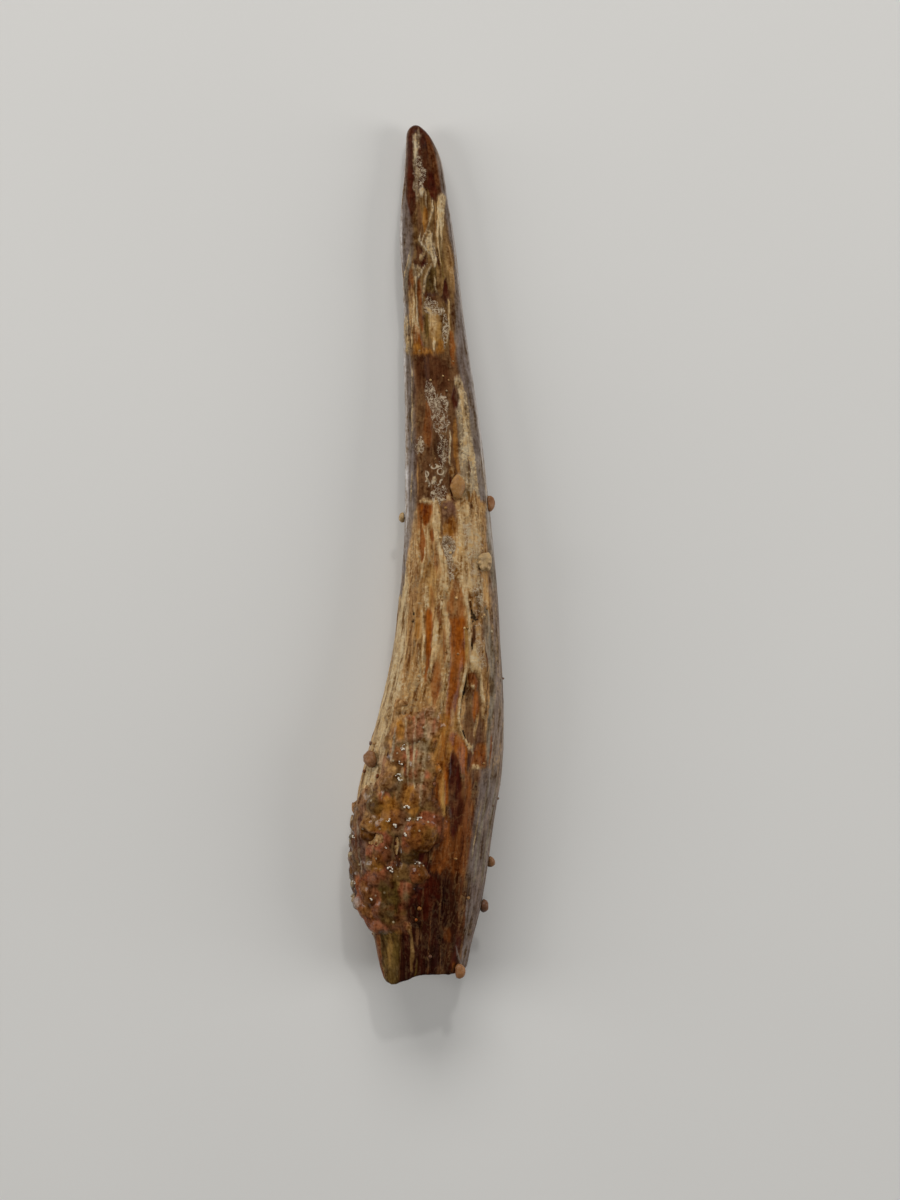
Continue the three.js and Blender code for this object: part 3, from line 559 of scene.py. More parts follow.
# The patches of the crust.
CRUST_MARKS: tuple[Mark, ...] = (
    Mark(Stain.TAN, ((33.6, -1.3, 0.3), (34.6, -1.4, 0.5), (35.4, -1.4, 0.55), (36, -1.6, 0.4)), ragged=0.15),
    Mark.spot(Stain.HONEY, 35.2, -1.32, 0.28, 1, 0.1, ragged=0.1),
    Mark.spot(Stain.PLUM, 33.5, -0.68, 0.33, 0.8, -0.1, ragged=0.1, strength=0.8),
    Mark.spot(Stain.RUST, 34.1, -0.8, 0.19, 1, 0.1, ragged=0.1),
    Mark.spot(Stain.DEEP, 33.78, -0.18, 0.19, 0.35, 0.35),
    Mark.spot(Stain.FIBRE, 34.85, -0.2, 0.5, 1.7, -0.1, ragged=0.25, strength=0.35),
    Mark(Stain.FIBRE, ((35.3, -0.3, 0.3), (36, -0.3, 0.4), (38, -0.3, 0.34), (39, -0.4, 0.15)), ragged=0.3,
         strength=0.2),
    Mark.thread(Stain.FIBRE, 0.09, ((34, 0.15), (35.4, 0.1), (38, -0.1), (39.4, -0.2)), ragged=0.08),
    Mark.thread(Stain.FIBRE, 0.08, ((34.6, -0.4), (36, -0.5), (39, -0.55)), ragged=0.08),
    Mark.thread(Stain.FIBRE, 0.08, ((34.4, -1), (35.6, -0.95), (37, -0.85), (38.2, -0.9)), ragged=0.08),
    Mark.thread(Stain.DUST, 0.08, ((35, -1.6), (36.2, -1.7), (37.6, -1.95), (39, -2.3)), ragged=0.08),
    Mark.thread(Stain.MAROON, 0.05, ((35.4, -0.62), (35.8, -0.6), (36.3, -0.62)), strength=0.6),
    Mark(Stain.OLIVE, ((35.8, -1.3, 0.2), (36.4, -1.4, 0.35), (37, -1.5, 0.2), (38, -1.5, 0.3),
         (38.8, -1.3, 0.5), (39.6, -0.8, 0.7), (40.2, -0.7, 0.5)), ragged=0.15, strength=0.6),
    Mark.spot(Stain.HONEY, 39.05, -0.76, 0.53, 1.7, 0.2, ragged=0.12),
    Mark.spot(Stain.DEEP, 36.7, -1.97, 0.09, 0.6),
    Mark(Stain.TAN, ((36.9, -1.9, 0.15), (37.4, -1.8, 0.35), (38.6, -2.3, 0.3)), ragged=0.12),
    Mark.spot(Stain.RUST, 37.35, -1.05, 0.11, 0.7),
    Mark(Stain.HONEY, ((38.9, -1.9, 0.3), (39.6, -2, 0.6), (40.2, -2.2, 0.9), (40.8, -2.6, 0.7)),
         ragged=0.15),
    Mark.spot(Stain.TAN, 40.3, -3.03, 0.47, 1, -0.1, ragged=0.12),
    Mark(Stain.MAROON, ((40.9, -3.2, 0.15), (41.1, -2.85, 0.5), (41.4, -2.8, 0.5), (41.7, -3, 0.3)),
         ragged=0.08, relief=-0.2),
    Mark.spot(Stain.OCHRE, 41.42, -2.61, 0.17, 0.45),
    Mark(Stain.BRICK, ((40.3, -0.5, 0.3), (40.7, -0.55, 0.5), (41.3, -0.65, 0.6), (41.8, -0.7, 0.55),
         (42.1, -0.7, 0.3)), ragged=0.08),
    Mark.spot(Stain.HONEY, 40.85, -0.56, 0.24, 0.7, -0.1, ragged=0.12, strength=0.6),
    Mark.thread(Stain.MAROON, 0.1, ((40.9, -0.05), (41.4, -0.02), (42, -0.2), (42.3, -0.5))),
    Mark.spot(Stain.MAROON, 42.1, -1.47, 0.21, 1.8, 0.2, ragged=0.08, relief=-0.12),
    Mark(Stain.DEEP, ((42, -0.4, 0.3), (42.25, -0.3, 0.55), (42.55, -0.3, 0.4)), relief=-0.15),
    Mark(Stain.BARK, ((41.6, -2.1, 0.25), (42.3, -2.1, 0.4), (43, -2.3, 0.4)), ragged=0.12),
    Mark(Stain.HONEY, ((42.2, -2.6, 0.2), (42.7, -2.6, 0.4), (43.2, -2.7, 0.4)), ragged=0.12),
    Mark.spot(Stain.GOLD, 43.45, -1.4, 0.53, 1.1, -0.5, ragged=0.12),
    Mark.spot(Stain.BRICK, 43.4, -0.43, 0.4, 0.8, -0.1, ragged=0.1),
    Mark(Stain.OLIVE, ((43.8, -2, 0.5), (44.6, -2, 0.65), (46.2, -2, 0.5)), ragged=0.12),
    Mark(Stain.BRICK, ((43.6, -3.3, 0.3), (44.4, -3.1, 0.6), (45.2, -3.1, 0.7), (46.8, -2.8, 0.3)),
         ragged=0.12),
    Mark(Stain.HONEY, ((44, -3.2, 0.2), (44.6, -3, 0.3), (45.4, -3.2, 0.3), (46, -2.9, 0.2)), ragged=0.15,
         strength=0.7),
    Mark.spot(Stain.MAROON, 44.1, -2.86, 0.11, 0.4),
    Mark(Stain.PLUM, ((40.2, -3.6, 0.15), (42.6, -3.5, 0.24), (43.6, -3.45, 0.16)), ragged=0.08),
    Mark.thread(Stain.DUST, 0.05, ((40.4, -3.75), (41.4, -3.72), (43.4, -3.5))),
    Mark(Stain.BARK, ((40.4, -4.2, 0.2), (41.6, -4.15, 0.3), (44, -4.1, 0.28)), ragged=0.1, strength=0.85),
    Mark.spot(Stain.DEEP, 44.5, -3.94, 0.15, 0.8, relief=-0.1),
    Mark.spot(Stain.PAINTED_RIM_AND_PALE_GRAIN, 45.15, -3.86, 0.34, 0.75, -0.2, relief=0.12, strength=0.8),
)

ALL_MARKS = (
    GROUND_MARKS + CROWN_MARKS + SHAFT_MARKS + BAND_MARKS + NECK_MARKS + ROOT_MARKS + FLAKE_MARKS + FOOT_MARKS
)


# ---- Uneven fields ----


@dataclass(frozen=True)
class Unevenness:
    """A smooth random field through space, always the same for the same seed.

    Attributes:
        seed: Which field it is.
        octaves: How many layers of finer detail it has.
    """

    seed: int
    octaves: int = 2

    def at(self, points: np.ndarray) -> np.ndarray:
        """Reads the field.

        Args:
            points: Places, one row each, measured in its own wavelengths.

        Returns:
            Numbers in about -1 to 1.
        """
        total = np.zeros(len(points))
        reach = 0.0
        for octave in range(self.octaves):
            weight = 0.55**octave
            total += weight * self._lattice(points * 2.0**octave + 17.3 * octave, self.seed + octave)
            reach += weight
        return total / reach

    @staticmethod
    def _lattice(points: np.ndarray, seed: int) -> np.ndarray:
        """One layer: random numbers on a lattice, blended smoothly between its corners.

        Args:
            points: Places, one row each.
            seed: Which lattice it is.

        Returns:
            Numbers in -1 to 1.
        """
        table = np.random.default_rng(seed).permutation(512)
        values = np.random.default_rng(seed + 1000).uniform(-1.0, 1.0, 512)
        cell = np.floor(points).astype(np.int64)
        part = points - cell
        part = part * part * (3.0 - 2.0 * part)
        total = np.zeros(len(points))
        for corner in range(8):
            step = np.array([corner & 1, corner >> 1 & 1, corner >> 2 & 1])
            weight = np.prod(np.where(step, part, 1.0 - part), axis=1)
            a, b, c = ((cell + step) % 512).T
            total += weight * values[table[(table[(table[a] + b) % 512] + c) % 512]]
        return total


# ---- The tooth's surface as a map ----


@dataclass(frozen=True)
class Sections:
    """The middle and half sizes of the tooth's section along its length, measured on its solid.

    Attributes:
        station: Distances from the tip.
        middle: X and Z of each section's middle.
        half: Half width and half height of each section.
    """

    station: np.ndarray
    middle: np.ndarray
    half: np.ndarray

    @classmethod
    def measure(cls, points: np.ndarray) -> "Sections":
        """Reads them off a mesh's points.

        Args:
            points: The points, in mm.

        Returns:
            The sections, smoothed along the tooth.
        """
        station = TIP_Y - points[:, 1]
        places = np.arange(0.0, station.max() - 0.4, 0.5)
        low, high = [], []
        for place in places:
            near = points[np.abs(station - place) < 0.55]
            low.append(near[:, [0, 2]].min(axis=0))
            high.append(near[:, [0, 2]].max(axis=0))
        low, high = (np.array([np.convolve(np.pad(side, 2, "edge"), np.full(5, 0.2), "valid")
                               for side in np.array(rows).T]).T for rows in (low, high))
        return cls(places, (low + high) / 2.0, (high - low) / 2.0)

    def at(self, station: np.ndarray) -> list[np.ndarray]:
        """The middles, and the half sizes, at some distances from the tip."""
        return [np.stack([np.interp(station, self.station, side) for side in sides.T], axis=1)
                for sides in (self.middle, self.half)]


class Chart:
    """Where each point of a skin lies on the tooth: how far from the tip, across and round."""

    def __init__(self, points: np.ndarray, sections: Sections) -> None:
        """Reads every coordinate of some points.

        Args:
            points: The points, in mm.
            sections: The tooth's sections.
        """
        self.points = points
        self.x = points[:, 0]
        self.station = TIP_Y - points[:, 1]
        middle, half = sections.at(self.station)
        half = np.maximum(half, 0.05)
        offset = (points[:, [0, 2]] - middle) / half
        self.share = offset[:, 0]
        self.angle = np.arctan2(offset[:, 1], offset[:, 0])
        self.upper = ease(np.sin(self.angle), -0.2, 0.22)
        # The strands run as if on a round rod, so that they are as wide on the sides as on top.
        radius = 0.8 + 0.65 * half[:, 0]
        self.strand = np.stack(
            [radius * np.cos(self.angle), radius * np.sin(self.angle), self.station], axis=1
        )
        # How the edges of the marks stray: in long fibres, in clumps, in teeth, and in thin places.
        flat = np.stack([self.x, self.station, points[:, 2] * 0.5], axis=1)
        self.fray = Unevenness(11, 3).at(flat * [5.5, 0.55, 1.5])
        self.stray = Unevenness(12, 3).at(flat * [2.2, 1.7, 1.5])
        self.jag = Unevenness(14, 2).at(flat * [6.0, 4.0, 3.0])
        self.thin = Unevenness(13, 3).at(flat * [2.6, 0.9, 1.5])

    def strands(self, across: float, along: float, seed: int, octaves: int = 2) -> np.ndarray:
        """An uneven field that changes so often per mm across and along the tooth's strands."""
        return Unevenness(seed, octaves).at(self.strand * [across, across, along])


# ---- Work on meshes ----


class Element(Enum):
    """What is selected in a mesh."""

    POINT = "VERT"
    EDGE = "EDGE"


class Bench:
    """The modelling operators, each given its selection in code."""

    @classmethod
    @contextmanager
    def editing(
        cls, piece: bpy.types.Object, chosen: np.ndarray | None = None, element: Element = Element.POINT
    ) -> Iterator[None]:
        """Holds one piece in edit mode, with some of its points or edges selected, or all of it.

        Args:
            piece: The piece.
            chosen: True for each point or edge that is selected, or None for all.
            element: Whether they are points or edges.
        """
        cls.hold(piece)
        bpy.ops.object.mode_set(mode="EDIT")
        bpy.ops.mesh.select_mode(type=element.value)
        bpy.ops.mesh.select_all(action="SELECT" if chosen is None else "DESELECT")
        if chosen is not None:
            bpy.ops.object.mode_set(mode="OBJECT")
            items = piece.data.vertices if element is Element.POINT else piece.data.edges
            items.foreach_set("select", chosen)
            bpy.ops.object.mode_set(mode="EDIT")
        yield
        bpy.ops.object.mode_set(mode="OBJECT")

    @staticmethod
    def hold(piece: bpy.types.Object) -> None:
        """Selects one object alone and makes it active."""
        if bpy.context.object and bpy.context.object.mode != "OBJECT":
            bpy.ops.object.mode_set(mode="OBJECT")
        bpy.ops.object.select_all(action="DESELECT")
        piece.select_set(True)
        bpy.context.view_layer.objects.active = piece

    @staticmethod
    def placed(mesh: bpy.types.Mesh, name: str) -> bpy.types.Object:
        """A new piece with a copy of a mesh, without its materials."""
        piece = bpy.data.objects.new(name, mesh.copy())
        bpy.context.scene.collection.objects.link(piece)
        piece.data.name = name
        piece.data.materials.clear()
        return piece

    @classmethod
    def copy_of(cls, node: str, name: str) -> bpy.types.Object:
        """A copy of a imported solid, with its doubled points merged and its facets joined.

        Args:
            node: The solid's name.
            name: The new piece's name.

        Returns:
            The new piece.
        """
        piece = cls.placed(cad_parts[node].data, name)
        cls.hold(piece)
        if piece.data.has_custom_normals:
            bpy.ops.mesh.customdata_custom_splitnormals_clear()
        with cls.editing(piece):
            bpy.ops.mesh.remove_doubles(threshold=1e-6)
            bpy.ops.mesh.normals_make_consistent(inside=False)
        return piece

    @classmethod
    def apply(cls, piece: bpy.types.Object, kind: str, **settings: object) -> None:
        """Adds one modifier and applies it.

        Args:
            piece: The piece it works on.
            kind: The modifier's type.
            **settings: Its properties.
        """
        cls.hold(piece)
        modifier = piece.modifiers.new(kind.title(), kind)
        for key, value in settings.items():
            setattr(modifier, key, value)
        bpy.ops.object.modifier_apply(modifier=modifier.name)

    @staticmethod
    def _read(items: bpy.types.bpy_prop_collection, key: str, width: int, kind: type) -> np.ndarray:
        """One row of numbers for each point or edge."""
        flat = np.empty(len(items) * width, kind)
        items.foreach_get(key, flat)
        return flat.reshape(-1, width)

    @classmethod
    def points(cls, piece: bpy.types.Object) -> np.ndarray:
        """A piece's points, in mm."""
        return cls._read(piece.data.vertices, "co", 3, np.float32).astype(float) / MM

    @classmethod
    def normals(cls, piece: bpy.types.Object) -> np.ndarray:
        """The outward direction at each of a piece's points."""
        return cls._read(piece.data.vertex_normals, "vector", 3, np.float32).astype(float)

    @staticmethod
    def move(piece: bpy.types.Object, points: np.ndarray) -> None:
        """Puts a piece's points at new places, in mm."""
        piece.data.vertices.foreach_set("co", (points * MM).astype(np.float32).ravel())
        piece.data.update()

    @classmethod
    def edges(cls, piece: bpy.types.Object) -> np.ndarray:
        """The numbers of the first and the second point of each of a piece's edges."""
        return cls._read(piece.data.edges, "vertices", 2, np.int32).T

    @staticmethod
    def paint(piece: bpy.types.Object, name: str, colours: np.ndarray) -> None:
        """Stores one linear colour for each point of a piece."""
        layer = piece.data.attributes.new(name, "FLOAT_COLOR", "POINT")
        full = np.concatenate([colours, np.ones((len(colours), 1))], axis=1)
        layer.data.foreach_set("color", full.astype(np.float32).ravel())

    @staticmethod
    def store(piece: bpy.types.Object, name: str, values: np.ndarray) -> None:
        """Stores one number, or a row of three, for each point of a piece."""
        kind, key = ("FLOAT", "value") if values.ndim == 1 else ("FLOAT_VECTOR", "vector")
        layer = piece.data.attributes.new(name, kind, "POINT")
        layer.data.foreach_set(key, values.astype(np.float32).ravel())


def smoothed(piece: bpy.types.Object, values: np.ndarray, turns: int) -> np.ndarray:
    """Averages a value over each point's neighbours.

    Args:
        piece: The piece whose edges join the neighbours.
        values: A number for each point.
        turns: How many times.

    Returns:
        The averaged numbers.
    """
    first, second = Bench.edges(piece)
    count = np.bincount(first, minlength=len(values)) + np.bincount(second, minlength=len(values))
    for _ in range(turns):
        total = np.bincount(first, values[second], len(values))
        total += np.bincount(second, values[first], len(values))
        values = 0.5 * values + 0.5 * total / np.maximum(count, 1)
    return values


# ---- Shader graphs ----


class Reading(Enum):
    """What an attribute of the mesh is read as: the output of its node."""

    COLOUR = 0
    VECTOR = 1
    NUMBER = 2


@dataclass(frozen=True)
class Wire:
    """What one node hands to the next. Sums and products of wires and numbers are Math nodes.

    Attributes:
        graph: The graph it runs in.
        socket: The socket it comes out of.
    """

    graph: "Graph"
    socket: bpy.types.NodeSocket

    def __add__(self, other: "Value") -> "Wire":
        """This and another, added."""
        return self.graph.math("ADD", self, other)

    def __sub__(self, other: "Value") -> "Wire":
        """This less another."""
        return self.graph.math("SUBTRACT", self, other)

    def __rsub__(self, other: float) -> "Wire":
        """A number less this."""
        return self.graph.math("SUBTRACT", other, self)

    def __mul__(self, other: "Value") -> "Wire":
        """This times another."""
        return self.graph.math("MULTIPLY", self, other)

    def __abs__(self) -> "Wire":
        """This without its sign."""
        return self.graph.math("ABSOLUTE", self)

    __radd__ = __add__
    __rmul__ = __mul__


Value = float | Wire


class Graph:
    """A short way of writing a node tree down."""

    def __init__(self, tree: bpy.types.NodeTree) -> None:
        """Starts on a tree."""
        self.tree = tree

    @classmethod
    def material(cls, name: str) -> tuple["Graph", bpy.types.Material]:
        """The graph of a new material with a Principled shader, and the material."""
        material = bpy.data.materials.new(name)
        material.use_nodes = True
        return cls(material.node_tree), material

    @classmethod
    def group(cls, name: str, inputs: dict[str, str], outputs: dict[str, str]) -> "Graph":
        """A new node group.

        Args:
            name: The group's name.
            inputs: The kind of each input.
            outputs: The kind of each output.

        Returns:
            Its graph, with nodes called In and Out.
        """
        tree = bpy.data.node_groups.new(name, "ShaderNodeTree")
        for way, sockets in (("INPUT", inputs), ("OUTPUT", outputs)):
            for label, kind in sockets.items():
                tree.interface.new_socket(label, in_out=way, socket_type=f"NodeSocket{kind}")
        tree.nodes.new("NodeGroupInput").name = "In"
        tree.nodes.new("NodeGroupOutput").name = "Out"
        return cls(tree)

    def given(self, *labels: str) -> list[Wire]:
        """Some of the group's own inputs."""
        return [Wire(self, self.tree.nodes["In"].outputs[label]) for label in labels]

    def put(self, **outputs: Wire) -> None:
        """Sends values to the group's outputs."""
        self.fill(self.tree.nodes["Out"], outputs)

    def shade(self, **inputs: object) -> None:
        """Sets inputs of the material's shader, by name with _ for a space."""
        self.fill(self.tree.nodes["Principled BSDF"], inputs)

    def fill(self, node: bpy.types.Node, inputs: dict[str | int, object]) -> None:
        """Links a node's inputs to wires, or sets them to numbers, colours or stains.

        Args:
            node: The node.
            inputs: What goes into each input, by name with _ for a space, or by number.
        """
        for key, value in inputs.items():
            socket = node.inputs[key.replace("_", " ") if isinstance(key, str) else key]
            if isinstance(value, Wire):
                self.tree.links.new(value.socket, socket)
            else:
                socket.default_value = tint(value) if isinstance(value, Stain) else value

    def node(self, kind: str, settings: dict[str, object], inputs: dict[str | int, object]) -> list[Wire]:
        """A new node.

        Args:
            kind: Its type, without the ShaderNode in front.
            settings: Its properties.
            inputs: What goes into its inputs.

        Returns:
            Everything it hands on.
        """
        node = self.tree.nodes.new(f"ShaderNode{kind}")
        for key, value in settings.items():
            setattr(node, key, value)
        self.fill(node, inputs)
        return [Wire(self, socket) for socket in node.outputs]

    def use(self, name: str, **inputs: object) -> list[Wire]:
        """Everything that a node group hands on, placed in this tree."""
        return self.node("Group", {"node_tree": bpy.data.node_groups[name]}, inputs)

    def read(self, name: str, reading: Reading = Reading.NUMBER) -> Wire:
        """One of the mesh's attributes."""
        return self.node("Attribute", {"attribute_name": name}, {})[reading.value]

    def place(self) -> Wire:
        """The place on the object, in mm."""
        _, _, _, on_object, *_ = self.node("TexCoord", {}, {})
        return self.stretch(on_object, (1.0 / MM, 1.0 / MM, 1.0 / MM))

    def stretch(self, vector: Wire, scale: Wire | tuple[float, float, float]) -> Wire:
        """A vector with each of its parts scaled."""
        return self.node("VectorMath", {"operation": "MULTIPLY"}, {0: vector, 1: scale})[0]

    def drawn(self, vector: Wire, across: Wire, along: Wire) -> Wire:
        """A place on the strands, scaled across and along them."""
        return self.stretch(vector, self.node("CombineXYZ", {}, {"X": across, "Y": across, "Z": along})[0])

    def math(self, operation: str, first: Value, second: Value = 0.0, clamp: bool = False) -> Wire:
        """Two numbers put together by a Math node, and held to 0 to 1 if clamp is true."""
        return self.node("Math", {"operation": operation, "use_clamp": clamp}, {0: first, 1: second})[0]

    def step(self, value: Value, low: Value, high: Value, out: tuple[float, float] = (0.0, 1.0)) -> Wire:
        """A smooth step from low to high, between two values."""
        ends = {"From_Min": low, "From_Max": high, "To_Min": out[0], "To_Max": out[1]}
        return self.node("MapRange", {"interpolation_type": "SMOOTHSTEP"}, {"Value": value, **ends})[0]

    def noise(
        self, vector: Wire, scale: float, detail: float = 2.0, rough: float = 0.5, bend: float = 0.0
    ) -> Wire:
        """A noise between 0 and 1, in layers of finer detail, bent by its distortion."""
        look = {"Scale": scale, "Detail": detail, "Roughness": rough, "Distortion": bend}
        return self.node("TexNoise", {}, {"Vector": vector, **look})[0]

    def blend(self, share: Value, under: object, over: object, kind: str = "MIX") -> Wire:
        """One colour over another, by the share of the upper one that shows."""
        settings = {"data_type": "RGBA", "blend_type": kind}
        return self.node("Mix", settings, {0: share, 6: under, 7: over})[2]

    def bump(self, height: Wire, distance: float) -> Wire:
        """A normal bent by a height, which stands some mm high where it is 1."""
        return self.node("Bump", {}, {"Height": height, "Distance": distance * MM})[0]


def tint(stain: Stain, lift: float = 1.0) -> tuple[float, float, float, float]:
    """A stain as a socket's colour, made brighter by its lift."""
    return (*(float(part) for part in np.clip(stain.linear() * lift, 0.0, 1.0)), 1.0)


# ---- Effects shared by the finishes ----


def build_effects() -> None:
    """Makes the node groups that more than one finish uses."""
    drawn_out = {"Strand": "Vector", "Across": "Float", "Along": "Float"}
    g = Graph.group("strand_streaks", drawn_out, {"Fine": "Float", "Ridge": "Float"})
    strand = g.drawn(*g.given(*drawn_out))
    middle = g.noise(strand, 0.6, 2.0, 0.5, 0.5)
    g.put(Fine=g.noise(strand, 1.0, 2.0, 0.55, 0.35), Ridge=g.step(abs(middle - 0.5), 0.13, 0.0))

    g = Graph.group("drawn_veins", drawn_out, {"Mask": "Float"})
    strand = g.drawn(*g.given(*drawn_out))
    swirl = g.noise(strand, 1.0, 2.0, 0.5, 0.9)
    thick = g.step(g.noise(strand, 0.7, 2.0), 0.3, 0.7, (0.01, 0.075))
    g.put(Mask=g.step(abs(swirl - 0.5), thick, thick * 0.25))

    g = Graph.group("toned_stain", {"Stain": "Color", "Level": "Float"}, {"Color": "Color"})
    stain, level = g.given("Stain", "Level")
    depth = g.blend(g.math("ADD", level, 0.0, True), (0.42, 0.28, 0.12, 1.0), (1.75, 2.0, 2.5, 1.0))
    g.put(Color=g.blend(1.0, stain, depth, "MULTIPLY"))

    ragged = {"Mask": "Float", "Uneven": "Float", "Reach": "Float", "Soft": "Float"}
    g = Graph.group("ragged_mask", ragged, {"Mask": "Float"})
    mask, uneven, reach, soft = g.given(*ragged)
    level = mask + (uneven - 0.5) * reach
    g.put(Mask=g.step(level, 0.5 - soft, 0.5 + soft) * g.step(mask, 0.02, 0.3))

    speckled = {"Place": "Vector", "Scale": "Float", "Amount": "Float"}
    g = Graph.group("sand_speckle", speckled, {"Mask": "Float", "Tone": "Float"})
    place, scale, amount = g.given(*speckled)
    distance, colour, *_ = g.node("TexVoronoi", {}, {"Vector": place, "Scale": scale})
    red, green, _ = g.node("SeparateColor", {}, {"Color": colour})
    least = 1.0 - amount
    g.put(Mask=g.step(distance, 0.34, 0.2) * g.step(red, least, least + 0.02), Tone=green)


# ---- Finishes ----


@dataclass(frozen=True)
class ToothFinish:
    """Enamel and dentine: stained, drawn out in strands, pitted, and speckled with sand.

    Attributes:
        name: The material's name.
        streak_across: How often the strands' streaks change across them, per mm.
        streak_along: How often they change along them, per mm.
        bump: Height of the finest roughness, in mm.
    """

    name: str = "stained_dentine"
    streak_across: float = 4.2
    streak_along: float = 0.6
    bump: float = 0.028

    def build(self) -> bpy.types.Material:
        """Makes the material."""
        g, material = Graph.material(self.name)
        place = g.place()
        strand = g.read("strand", Reading.VECTOR)
        masks = {layer: g.read(layer.value) for layer in Layer}
        fibre, worn = masks[Layer.FIBRE], masks[Layer.WORN]
        streaks = {"Across": self.streak_across, "Along": self.streak_along}
        fine, ridge = g.use("strand_streaks", Strand=strand, **streaks)
        patches = g.use("strand_streaks", Strand=strand, Across=1.7, Along=0.5)[0]
        mottle = g.noise(place, 2.6, 2.5, 0.6)
        grit = g.noise(place, 6.5, 1.5, 0.6)

        level = (fine - 0.5) * (fibre * 1.7 + 0.5)
        level = level + (mottle - 0.5) * (1.0 - fibre + 0.3)
        level = level + (patches - 0.5) * 1.2 + (grit - 0.5) * 0.7
        level = level + ridge * (fibre * 0.5 + 0.08) + (0.42 - fibre * 0.16)
        colour = g.use("toned_stain", Stain=g.read("stain", Reading.COLOUR), Level=level)[0]

        broad = g.use("drawn_veins", Strand=strand, Across=1.8, Along=0.36)[0]
        thin = g.use("drawn_veins", Strand=strand, Across=3.4, Along=0.8)[0]
        amount = fibre * 0.3 + masks[Layer.PALE] * 0.8
        amount = g.math("ADD", amount, worn * 0.4, True)
        veins = g.math("MAXIMUM", broad, thin * 0.75) * (amount * g.step(grit, 0.3, 0.55))
        colour = g.blend(veins, colour, g.blend(g.step(mottle, 0.4, 0.6), Stain.DUST, Stain.CREAM))

        crumbs = (patches + grit) * 0.5
        pale = g.use("ragged_mask", Mask=masks[Layer.PALE], Uneven=crumbs, Reach=4.5, Soft=0.22)[0]
        pale_colour = g.blend(g.step(mottle, 0.35, 0.65), Stain.CREAM, tint(Stain.CHALK, 1.25))
        colour = g.blend(pale * (g.step(ridge, 0.1, 0.8) * 0.55 + 0.3), colour, pale_colour)

        worms = g.use("drawn_veins", Strand=place, Across=3.6, Along=3.0)[0]
        threads = g.use("drawn_veins", Strand=place, Across=6.0, Along=5.0)[0]
        lace_zone = g.use("ragged_mask", Mask=masks[Layer.LACE], Uneven=mottle, Reach=1.2, Soft=0.25)[0]
        colour = g.blend(lace_zone * 0.3, colour, Stain.MAROON)
        lace = g.math("MAXIMUM", worms, threads * 0.8) * lace_zone
        colour = g.blend(lace * 0.9, colour, tint(Stain.LACE, 1.4))

        cells = g.node("TexVoronoi", {}, {"Vector": place, "Scale": 2.3})[0]
        ring_zone = g.use("ragged_mask", Mask=masks[Layer.RINGS], Uneven=mottle, Reach=0.6, Soft=0.2)[0]
        rings = g.step(abs(cells - 0.42), 0.11, 0.03) * ring_zone * g.step(grit, 0.3, 0.5)
        colour = g.blend(rings * 0.9, colour, Stain.RINGS)

        sand, tone = g.use("sand_speckle", Place=place, Scale=3.6, Amount=worn * 0.1)
        colour = g.blend(sand * 0.8, colour, g.blend(tone, Stain.GOLD, Stain.CHALK))
        pit = g.use("ragged_mask", Mask=masks[Layer.PIT], Uneven=crumbs, Reach=3.2, Soft=0.16)[0]
        colour = g.blend(pit * 0.92, colour, Stain.PIT)

        rough = 0.3 + (grit - 0.5) * 0.2 + (pale + lace) * 0.3
        height = fine * (fibre * 0.9 + 0.15) + grit * (worn * 0.7 + 0.06)
        height = height + (lace + pale) * 0.35 + (rings + veins) * 0.4 + sand * 0.9 - pit * 0.8
        g.shade(Base_Color=colour, Roughness=g.math("MINIMUM", rough, 0.85), Normal=g.bump(height, self.bump))
        g.shade(IOR=1.5, Specular_IOR_Level=0.05, Coat_Weight=masks[Layer.POLISH] * 0.8, Coat_Roughness=0.1)
        return material


@dataclass(frozen=True)
class CrustFinish:
    """Cemented sand: wet-looking grains, amber to olive, with painted shade darkening the gaps between them.

    Attributes:
        name: The material's name.
        bump: Height of the grains' own roughness, in mm.
    """

    name: str = "cemented_sand"
    bump: float = 0.024

    def build(self) -> bpy.types.Material:
        """Makes the material."""
        g, material = Graph.material(self.name)
        place = g.place()
        fine, ridge = g.use("strand_streaks", Strand=g.read("strand", Reading.VECTOR), Across=4.6, Along=0.6)
        mottle = g.noise(place, 2.4, 2.5, 0.6, 0.4)
        grit = g.noise(place, 6.5, 1.5, 0.6)
        sheet = g.read("sheet")
        gap = g.read("gap")

        level = (mottle - 0.5) * 2.0 + (grit - 0.5) * 1.2 + (ridge * (sheet * 0.4) + 0.42)
        colour = g.use("toned_stain", Stain=g.read("stain", Reading.COLOUR), Level=level)[0]
        # Painted shade: the hollows between the grains are darkened towards maroon.
        dark = g.use("ragged_mask", Mask=gap, Uneven=grit, Reach=0.8, Soft=0.3)[0]
        colour = g.blend(dark * 0.8, colour, Stain.MAROON)
        sand = g.use("sand_speckle", Place=place, Scale=4.0, Amount=0.05)[0]
        colour = g.blend(sand * 0.7, colour, Stain.CHALK)
        wet = g.step(g.noise(place, 1.6, 1.0), 0.58, 0.68)
        rough = 0.06 + grit * 0.28 + sheet * 0.08
        height = mottle * 0.9 + grit * 0.5 + fine * sheet + sand * 0.6
        g.shade(Base_Color=colour, Roughness=rough, Normal=g.bump(height, self.bump))
        g.shade(IOR=1.5, Specular_IOR_Level=0.05, Coat_Weight=wet * 0.6, Coat_Roughness=0.05)
        return material


